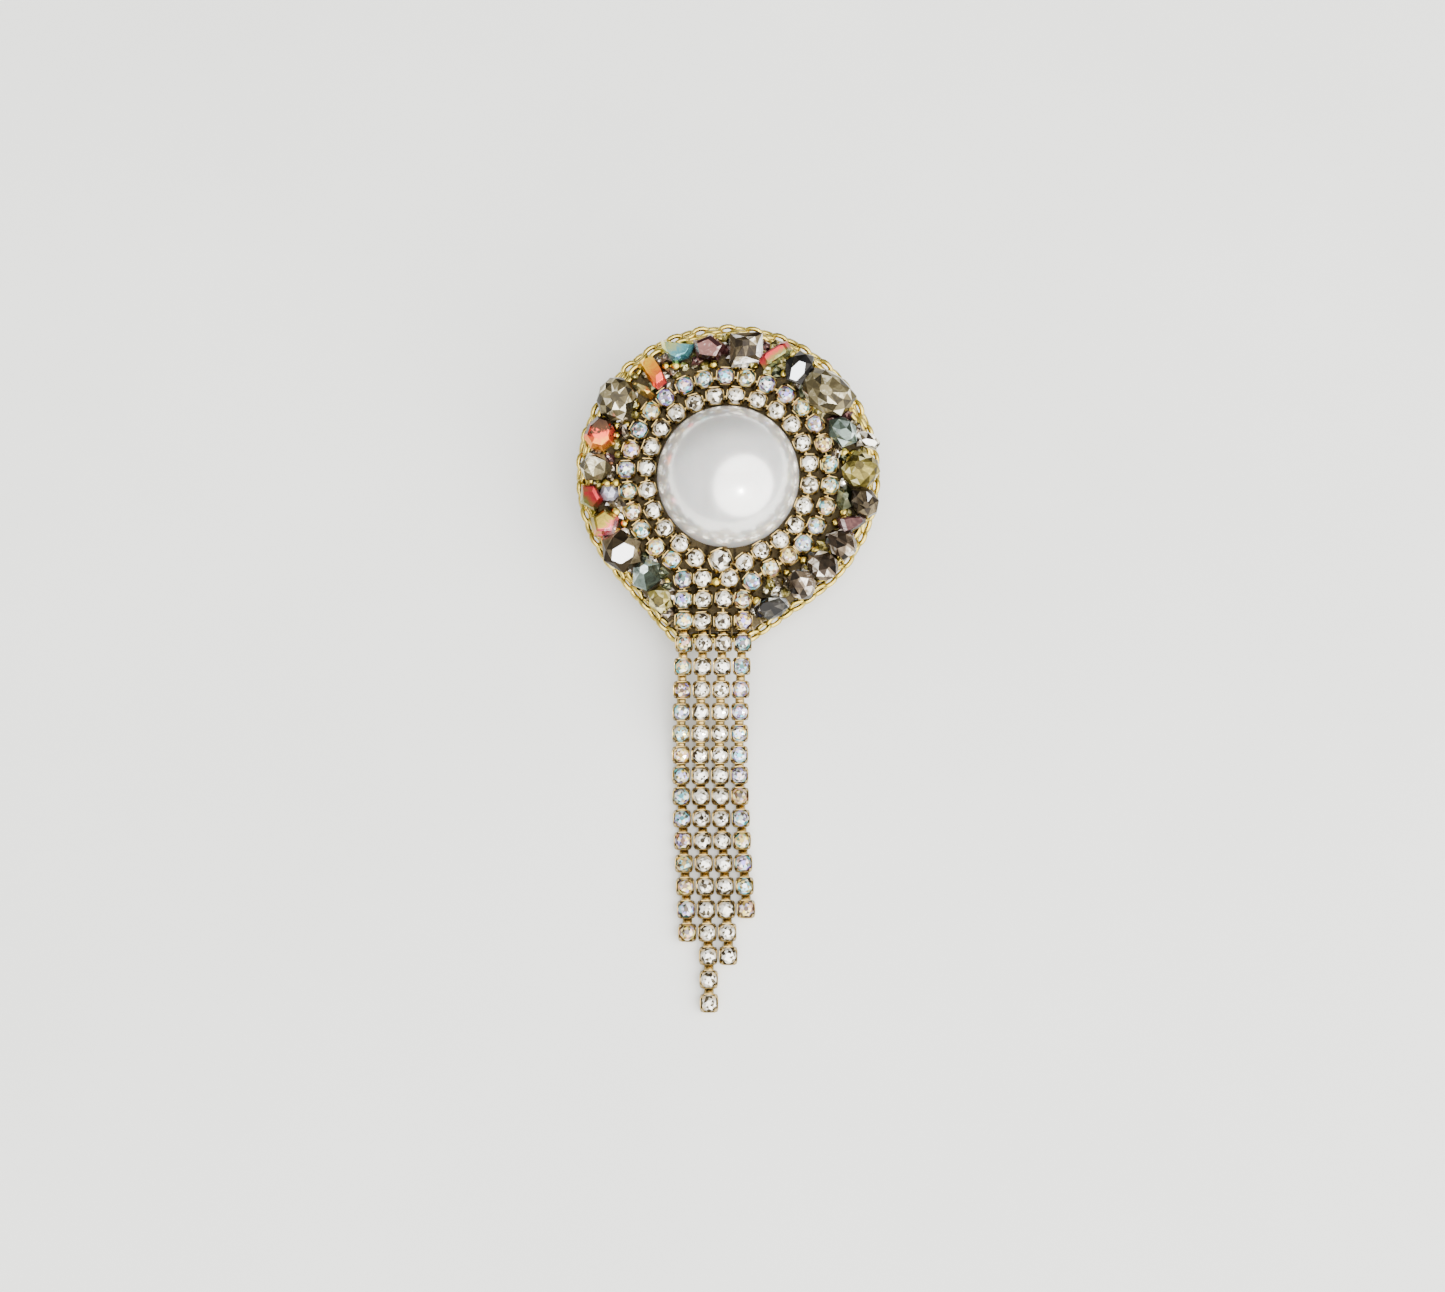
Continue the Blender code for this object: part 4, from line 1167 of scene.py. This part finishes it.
class HAIRCLIP_OT_seed_beads(Operator):
    """Small gold and glass beads that fill the gaps of the mosaic"""

    bl_idname = "hair_clip.seed_beads"
    bl_label = "Seed Beads"

    def execute(self, context):
        """Beads at random in four kinds, each grown a little and turned by its own amount."""
        radius = size_of("bead_radius")
        shape = self.bead_shape(radius)
        beads = self.bead_points(radius)
        rng = np.random.default_rng(70)
        kind = rng.choice(4, len(beads), p=(0.34, 0.36, 0.16, 0.14))
        for number, (name, material, slot) in enumerate((
            ("gold_seed_beads", chain_gold(), "gold_metal"),
            ("olive_seed_beads", glass("olive_crystal"), "olive_crystal"),
            ("clear_seed_beads", glass("clear_crystal"), "clear_crystal"),
            ("smoke_seed_beads", glass("smoke_crystal"), "smoke_crystal"),
        )):
            places = []
            for x, y, z in beads[kind == number]:
                size = rng.uniform(0.8, 1.2)
                turn = turn_z(rng.uniform(0, 6.3))
                places.append(DISC @ moved(x, y, z) @ turn @ grown(size, size, size))
            made, owner = stamp(shape, places)
            obj = add_piece(name, made, material, "disc", smooth=number == 0)
            facet_shades(obj, owner, 71 + number)
        return {"FINISHED"}

    def bead_shape(self, radius):
        """A round bead: a half circle turned round Z, standing on its foot."""
        a = np.linspace(-math.pi / 2, math.pi / 2, 6)
        profile = [(radius * math.cos(t), radius * (0.9 * math.sin(t) + 0.9)) for t in a]
        profile[0] = (0, profile[0][1])
        profile[-1] = (0, profile[-1][1])
        return turned(profile, 8)

    def bead_points(self, radius):
        """Beads over the band and the tongue, without those that would lie outside the felt,
        under a cup or inside a stone.
        """
        rng = np.random.default_rng(9)
        flat = scattered(1.9 * radius, 0.1 * MM, rng)
        flat = flat[on_felt(flat, radius * 0.8) & off_cups(flat, 1.6 * MM) & off_stones(flat, 0.8)]
        return np.column_stack((flat, np.abs(rng.normal(0, 0.25 * MM, len(flat)))))


# ---------------------------------------------------------------- pearl, backing and edge


class HAIRCLIP_OT_pearl(Operator):
    """The large pearl in the middle"""

    bl_idname = "hair_clip.pearl"
    bl_label = "Pearl"

    def execute(self, context):
        """A quarter of an ellipse turned round, from its top to its widest place, on a short
        foot that draws in a little.
        """
        points = to_disc(node_points("pearl_cabochon"))
        radius = np.ptp(points[:, 0]) / 2
        height = points[:, 2].max()
        a = np.linspace(math.pi / 2, 0, 40)
        profile = [(radius * math.cos(t), height * 0.07 + height * 0.93 * math.sin(t)) for t in a]
        profile[0] = (0, height)
        profile += [(radius * 0.985, height * 0.02), (radius * 0.96, 0.02 * MM), (0, 0.02 * MM)]
        points, faces = turned(profile[::-1], 96)
        material = pearl_material("pearl_lacquer", colour_of("pearl"))
        made = (to_world(points), faces)
        pearl = add_piece("pearl", made, material, "disc", sharp=60)
        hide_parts("pearl_cabochon")
        return {"FINISHED"}


def layer_shape(levels, count=240):
    """A flat layer of the disc: its outline at each level, moved out or in and lifted, with
    the bands between and a centre point at both ends.
    """
    points = [np.array(((0.0, 0.0, levels[0][1]),))]
    for grow, height in levels:
        ring = felt_outline(count, grow)
        points.append(np.column_stack((ring, np.full(count, height))))
    points.append(np.array(((0.0, 0.0, levels[-1][1]),)))
    at = np.arange(count)
    after = (at + 1) % count
    faces = np.column_stack((np.zeros(count, int), 1 + after, 1 + at)).tolist()
    for k in range(len(levels) - 1):
        low, high = 1 + k * count, 1 + (k + 1) * count
        faces += np.column_stack((low + at, low + after, high + after, high + at)).tolist()
    last = 1 + (len(levels) - 1) * count
    top = np.full(count, 1 + len(levels) * count)
    faces += np.column_stack((last + at, last + after, top)).tolist()
    return np.concatenate(points), faces


class HAIRCLIP_OT_backing(Operator):
    """The felt that carries the stones, the card inside and the leather back"""

    bl_idname = "hair_clip.backing"
    bl_label = "Backing"

    def execute(self, context):
        """Two layers that meet just above the card's foot, each with its edge rounded."""
        felt, leather, card = (
            to_disc(node_points(node))[:, 2]
            for node in ("felt_base", "leather_backing", "stiffener_card")
        )
        low = card.min() + 0.02 * MM
        levels = [(-0.5 * MM, low), (-0.05 * MM, low), (0.1 * MM, (low + felt.max()) / 2)]
        levels += [(0.05 * MM, -0.15 * MM), (-0.25 * MM, 0.0), (-3 * MM, 0.02 * MM)]
        material = felt_material("golden_felt", colour_of("felt"))
        self.add_layer("felt", levels, material, "felt", "felt_base")
        high = low - 0.03 * MM
        bottom = leather.min()
        levels = [(-0.4 * MM, bottom), (-0.08 * MM, bottom + 0.08 * MM)]
        levels += [(0.12 * MM, bottom + 0.4 * MM), (0.1 * MM, high - 0.2 * MM)]
        levels += [(-0.1 * MM, high), (-0.6 * MM, high)]
        material = leather_material("beige_leather", colour_of("leather"))
        self.add_layer("leather_back", levels, material, "backing_leather", "leather_backing")
        node = frame["nodes"]["stiffener_card"]
        node.data.materials.clear()
        node.data.materials.append(card_material("pulp_card"))
        return {"FINISHED"}

    def add_layer(self, name, levels, material, slot, node):
        """A layer in place of its node."""
        points, faces = layer_shape(levels)
        obj = add_piece(name, (to_world(points), faces), material, "disc", sharp=50)
        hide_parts(node)
        edge = felt_outline()


class HAIRCLIP_OT_edge(Operator):
    """The fine cable chain round the edge and the thread that holds it"""

    bl_idname = "hair_clip.edge"
    bl_label = "Chain Edge"

    def execute(self, context):
        """Two rows of chain, the lower one all round and the upper one as far as the tongue."""
        heights = to_disc(node_points("rim_chain"))[:, 2]
        middle = (heights.min() + heights.max()) / 2
        lower = self.row(LOWER_ROW[0], middle + LOWER_ROW[1], 0.0)
        upper = self.row(UPPER_ROW[0], middle + UPPER_ROW[1], 0.5)
        obj = add_piece("edge_chain", lower, chain_gold(), "disc")
        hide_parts("rim_chain")
        add_piece("upper_edge_chain", upper, chain_gold(), "disc")
        self.add_stitches(middle)
        return {"FINISHED"}

    def row(self, grow, height, phase):
        """Oval links along the outline, overlapping and tipped to either side in turn. The
        phase starts a row part of a link on, and leaves its links below the disc out.
        """
        edge = felt_outline(480, grow)
        loop = np.vstack((edge, edge[:1]))
        pitch = size_of("link_length") * LINK_STEP
        count = 2 * round(path_length(loop) / pitch / 2)
        points, headings = along_path(loop, (np.arange(count) + phase) * path_length(loop) / count)
        if phase:
            upper = points[:, 1] > TONGUE_START
            points, headings = points[upper], headings[upper]
        rng = np.random.default_rng(int(phase * 10) + 5)
        places = []
        for i, ((x, y), (dx, dy)) in enumerate(zip(points, headings)):
            tip = math.radians(LINK_TIPS[i % 2]) + rng.normal(0, 0.12)
            roll = np.eye(4)
            roll[1:3, 1:3] = ((math.cos(tip), -math.sin(tip)), (math.sin(tip), math.cos(tip)))
            turn = turn_z(math.atan2(dy, dx) + rng.normal(0, 0.06))
            places.append(DISC @ moved(x, y, height) @ turn @ roll)
        shape, _ = stamp(self.link_shape(), places)
        return shape

    def link_shape(self):
        """An oval link: a round wire along a circle stretched to the link's length."""
        a = np.arange(12) * 2 * math.pi / 12
        wire = size_of("link_wire") / 2
        long = size_of("link_length") / 2 - wire
        short = size_of("link_width") / 2 - wire
        path = np.column_stack((long * np.cos(a), short * np.sin(a), np.zeros(12)))
        return tube(path, wire, 6, closed=True)

    def add_stitches(self, middle):
        """Thread over the edge: half loops from the felt's top round to the leather. A loop's
        angle gives its height as a sine and its reach beyond the edge as a cosine, and past a
        quarter turn the thread runs straight back in.
        """
        low = to_disc(node_points("leather_backing"))[:, 2].min()
        radius = size_of("thread_radius")
        turn = np.linspace(-0.62, 0.58, 9) * math.pi
        lift = np.maximum(middle - 0.6 * MM + 1.5 * MM * np.sin(turn), low - radius)
        past = np.abs(turn) / math.pi - 0.5
        reach = np.where(past > 0, -6 * MM * past, 0.26 * MM + 0.2 * MM * np.cos(turn))
        edge = felt_outline(STITCHES)
        shapes = []
        for (x, y), (out_x, out_y) in zip(edge, outward(edge)):
            path = np.column_stack((x + out_x * reach, y + out_y * reach, lift))
            shapes.append(tube(path, radius, 5, across=(out_y, -out_x, 0.001)))
        (points, faces), _ = joined(shapes)
        material = thread_material("gold_thread", colour_of("thread"))
        add_piece("edge_stitches", (to_world(points), faces), material, "disc")


# ---------------------------------------------------------------- the clip


class HAIRCLIP_OT_clip(Operator):
    """The alligator clip: its sheets with rolled edges, its pin and its wound spring"""

    bl_idname = "hair_clip.clip"
    bl_label = "Alligator Clip"

    def execute(self, context):
        """The three stamped and turned parts keep their nodes' shapes."""
        for node, name, body in (
            ("clip_plate", "upper_sheet", "disc"),
            ("clip_jaw", "toothed_jaw", "jaw"),
            ("pivot_pin", "hinge_pin", "disc"),
        ):
            self.add_rounded_copy(node, name, body)
        self.add_spring()
        return {"FINISHED"}

    def add_rounded_copy(self, node, name, body):
        """The node's own shape, merged and with its sharp edges rolled."""
        mesh = bpy.data.meshes.new(name)
        merged = bmesh.new()
        merged.from_mesh(frame["nodes"][node].data)
        bmesh.ops.remove_doubles(merged, verts=merged.verts, dist=0.002 * MM)
        merged.to_mesh(mesh)
        merged.free()
        obj = bpy.data.objects.new(name, mesh)
        bpy.context.scene.collection.objects.link(obj)
        bevel = obj.modifiers.new("rolled_edges", "BEVEL")
        bevel.width = ROLLED_EDGE
        bevel.segments = 2
        bevel.limit_method = "ANGLE"
        bevel.angle_limit = math.radians(35)
        mesh.materials.clear()
        mesh.materials.append(steel())
        mesh.polygons.foreach_set("use_smooth", [False] * len(mesh.polygons))
        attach(obj, body)
        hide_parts(node)

    def add_spring(self):
        """The coil is a helix round the pin, whose one end runs on straight to the sheet. The
        other end, which rides on the jaw, starts on the helix and runs on along the lever.
        """
        points = to_disc(node_points("torsion_spring"))
        pivot = to_disc(joint_point("jaw_hinge")[None])[0]
        half = np.ptp(points[:, 0]) / 2 - SPRING_WIRE
        last = 2 * math.pi * SPRING_TURNS + math.pi - LEVER_FALL
        a = np.linspace(0, last, 150)
        helix = np.column_stack((
            half * (2 * a / last - 1),
            pivot[1] - SPRING_RADIUS * np.sin(a),
            pivot[2] + SPRING_RADIUS * np.cos(a),
        ))
        straight = np.linspace(0.4 * MM, SPRING_LEG, 10)[:, None]  # past the helix's end
        upper = np.vstack((helix[0] + np.array((0, 1, 0)) * straight[::-1], helix))
        obj = self.add_wire("spring_coil", upper, "disc")
        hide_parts("torsion_spring")
        heading = np.array((0, math.cos(LEVER_FALL), -math.sin(LEVER_FALL)))
        shared = helix[a > last - math.radians(SPRING_OVERLAP)]
        self.add_wire("spring_lower_leg", np.vstack((shared, helix[-1] + heading * straight)), "jaw")

    def add_wire(self, name, path, body):
        points, faces = tube(path, SPRING_WIRE, 8, across=(1, 0.001, 0))
        return add_piece(name, (to_world(points), faces), steel(), body)


# ---------------------------------------------------------------- the stage

FLOOR_HALF = 2.5  # half the floor's side
FLOOR_POINTS = 9  # along each side
BRIGHT_HEADING = (0.25, -0.95, 0.2)  # away from the room's dark side
ROOM = [  # its shades, from the dark side to the bright one
    (0.0, (0.2, 0.185, 0.16)),
    (0.3, (0.32, 0.315, 0.3)),
    (0.75, (0.82, 0.83, 0.82)),
    (1.0, (1, 1, 1)),
]
ROOM_STRENGTH = 1.15
ROOM_FADE = (-0.92, -0.3)  # cosines to the bright heading between which the room fades
# Each light: its name, place, diameter, power and colour. Both are aimed at the origin.
LIGHTS = (
    ("window", (0.5, -0.6, 0.95), 2.5, 74.0, (1.0, 0.985, 0.96)),
    ("spark", (0.2, -0.36, 0.5), 0.05, 0.6, (1.0, 1.0, 1.0)),
)
CAMERA_PLACE = (-0.0011, -0.0466, 0.1814)
CAMERA_ELEVATION = 74.57  # degrees below the level
CAMERA_TURN = 0.32  # degrees to the right of +Y
LENS = 36.1


class HAIRCLIP_OT_stage(Operator):
    """A pale floor, soft studio light and the camera"""

    bl_idname = "hair_clip.stage"
    bl_label = "Stage"

    def execute(self, context):
        self.add_floor()
        self.add_lights()
        self.add_room()
        self.add_camera(context)
        return {"FINISHED"}

    def add_floor(self):
        """A wide flat grid under the clip."""
        n = FLOOR_POINTS
        line = np.linspace(-FLOOR_HALF, FLOOR_HALF, n)
        x, y = np.meshgrid(line, line)
        points = np.column_stack((x.ravel(), y.ravel(), np.zeros(n * n)))
        i = np.arange(n * n).reshape(n, n)
        quads = np.stack((i[:-1, :-1], i[:-1, 1:], i[1:, 1:], i[1:, :-1]), axis=-1)
        mesh = bpy.data.meshes.new("floor")
        mesh.from_pydata(points.tolist(), [], quads.reshape(-1, 4).tolist())
        floor = bpy.data.objects.new("floor", mesh)
        bpy.context.scene.collection.objects.link(floor)
        mesh.materials.append(floor_material("pale_board", colour_of("floor")))

    def add_lights(self):
        """A large window light from the lower right and a small one for sparks in the stones."""
        for name, place, size, power, colour in LIGHTS:
            data = bpy.data.lights.new(name, "AREA")
            data.shape = "DISK"
            data.size = size
            data.energy = power
            data.color = colour
            lamp = bpy.data.objects.new(name, data)
            bpy.context.scene.collection.objects.link(lamp)
            lamp.location = place
            lamp.visible_camera = False
            x, y, z = place
            tilt = math.acos(z / np.linalg.norm(place))
            lamp.rotation_euler = (tilt, 0, math.atan2(-y, -x) - math.pi / 2)

    def add_room(self):
        """A pale room that darkens on its far side, by the cosine to the bright heading."""
        world = bpy.data.worlds.new("soft_room")
        world.use_nodes = True
        tree = world.node_tree
        place = add_node(tree, "ShaderNodeTexCoord").outputs["Generated"]
        inputs = {0: place, 1: BRIGHT_HEADING}
        cosine = add_node(tree, "ShaderNodeVectorMath", inputs, operation="DOT_PRODUCT")
        side = mapped(tree, cosine.outputs["Value"], 0.0, 1.0, *ROOM_FADE)
        background = tree.nodes["Background"]
        background.inputs["Strength"].default_value = ROOM_STRENGTH
        tree.links.new(ramp(tree, side, ROOM), background.inputs["Color"])
        bpy.context.scene.world = world

    def add_camera(self, context):
        """The camera, above the tassel's end and looking down at the clip."""
        data = bpy.data.cameras.new("camera")
        data.lens = LENS
        data.clip_start = 0.005
        camera = bpy.data.objects.new("camera", data)
        context.scene.collection.objects.link(camera)
        camera.location = CAMERA_PLACE
        tilt = math.radians(90 - CAMERA_ELEVATION)
        camera.rotation_euler = (tilt, 0, -math.radians(CAMERA_TURN))
        context.scene.camera = camera


# ---------------------------------------------------------------- the add-on


def length_property(name, description, default):
    return FloatProperty(
        name=name, description=description, default=default, unit="LENGTH", precision=5
    )


def colour_property(name, description, default):
    return FloatVectorProperty(
        name=name, description=description, default=default, subtype="COLOR", min=0, max=1
    )


class HAIRCLIP_PG_sizes(PropertyGroup):
    """Sizes of the fine pieces"""

    cup_side: length_property("Cup side", "Width of one stone's cup", 2.32 * MM)
    prong_rise: length_property("Prong rise", "Height of the prongs above the cup's rim", 0.42 * MM)
    stone_radius: length_property("Stone radius", "Radius of one chain stone", 1.11 * MM)
    bead_radius: length_property("Bead radius", "Radius of a seed bead", 0.66 * MM)
    link_length: length_property("Link length", "Length of a link of the edge chain", 2.6 * MM)
    link_width: length_property("Link width", "Width of a link of the edge chain", 1.75 * MM)
    link_wire: length_property("Link wire", "Thickness of the edge chain's wire", 0.68 * MM)
    thread_radius: length_property("Thread radius", "Radius of the sewing thread", 0.11 * MM)


class HAIRCLIP_PG_colours(PropertyGroup):
    """Colours of the finishes"""

    cup_gold: colour_property("Cup gold", "Cups and their links", (0.42, 0.3, 0.11))
    chain_gold: colour_property("Chain gold", "Edge chain and beads", (0.62, 0.47, 0.1))
    steel: colour_property("Steel", "Alligator clip", (0.45, 0.45, 0.46))
    pearl: colour_property("Pearl", "Large pearl", (0.86, 0.85, 0.82))
    felt: colour_property("Felt", "Base fabric", (0.08, 0.055, 0.016))
    leather: colour_property("Leather", "Backing", (0.24, 0.165, 0.085))
    thread: colour_property("Thread", "Sewing thread", (0.35, 0.24, 0.08))
    floor: colour_property("Floor", "Board under the clip", (0.88, 0.89, 0.86))


class HAIRCLIP_PT_panel(Panel):
    """Sizes, colours and the steps that make the clip"""

    bl_label = "Hair Clip"
    bl_idname = "HAIRCLIP_PT_panel"
    bl_space_type = "VIEW_3D"
    bl_region_type = "UI"
    bl_category = "Hair Clip"

    def draw(self, context):
        for group in (context.scene.hair_clip_sizes, context.scene.hair_clip_colours):
            box = self.layout.box()
            for name in group.bl_rna.properties.keys():
                if name not in ("rna_type", "name"):
                    box.prop(group, name)
        for step in STEPS:
            self.layout.operator(step.bl_idname)


STEPS = (
    HAIRCLIP_OT_stage,
    HAIRCLIP_OT_backing,
    HAIRCLIP_OT_pearl,
    HAIRCLIP_OT_ring_stones,
    HAIRCLIP_OT_mosaic,
    HAIRCLIP_OT_seed_beads,
    HAIRCLIP_OT_edge,
    HAIRCLIP_OT_tassel,
    HAIRCLIP_OT_clip,
)
CLASSES = (HAIRCLIP_PG_sizes, HAIRCLIP_PG_colours, *STEPS, HAIRCLIP_PT_panel)


def register():
    for cls in CLASSES:
        bpy.utils.register_class(cls)
    bpy.types.Scene.hair_clip_sizes = PointerProperty(type=HAIRCLIP_PG_sizes)
    bpy.types.Scene.hair_clip_colours = PointerProperty(type=HAIRCLIP_PG_colours)


def unregister():
    del bpy.types.Scene.hair_clip_colours
    del bpy.types.Scene.hair_clip_sizes
    for cls in reversed(CLASSES):
        bpy.utils.unregister_class(cls)


def main():
    register()
    for step in STEPS:
        group, name = step.bl_idname.split(".")
        getattr(getattr(bpy.ops, group), name)()


if __name__ == "__main__":
    main()
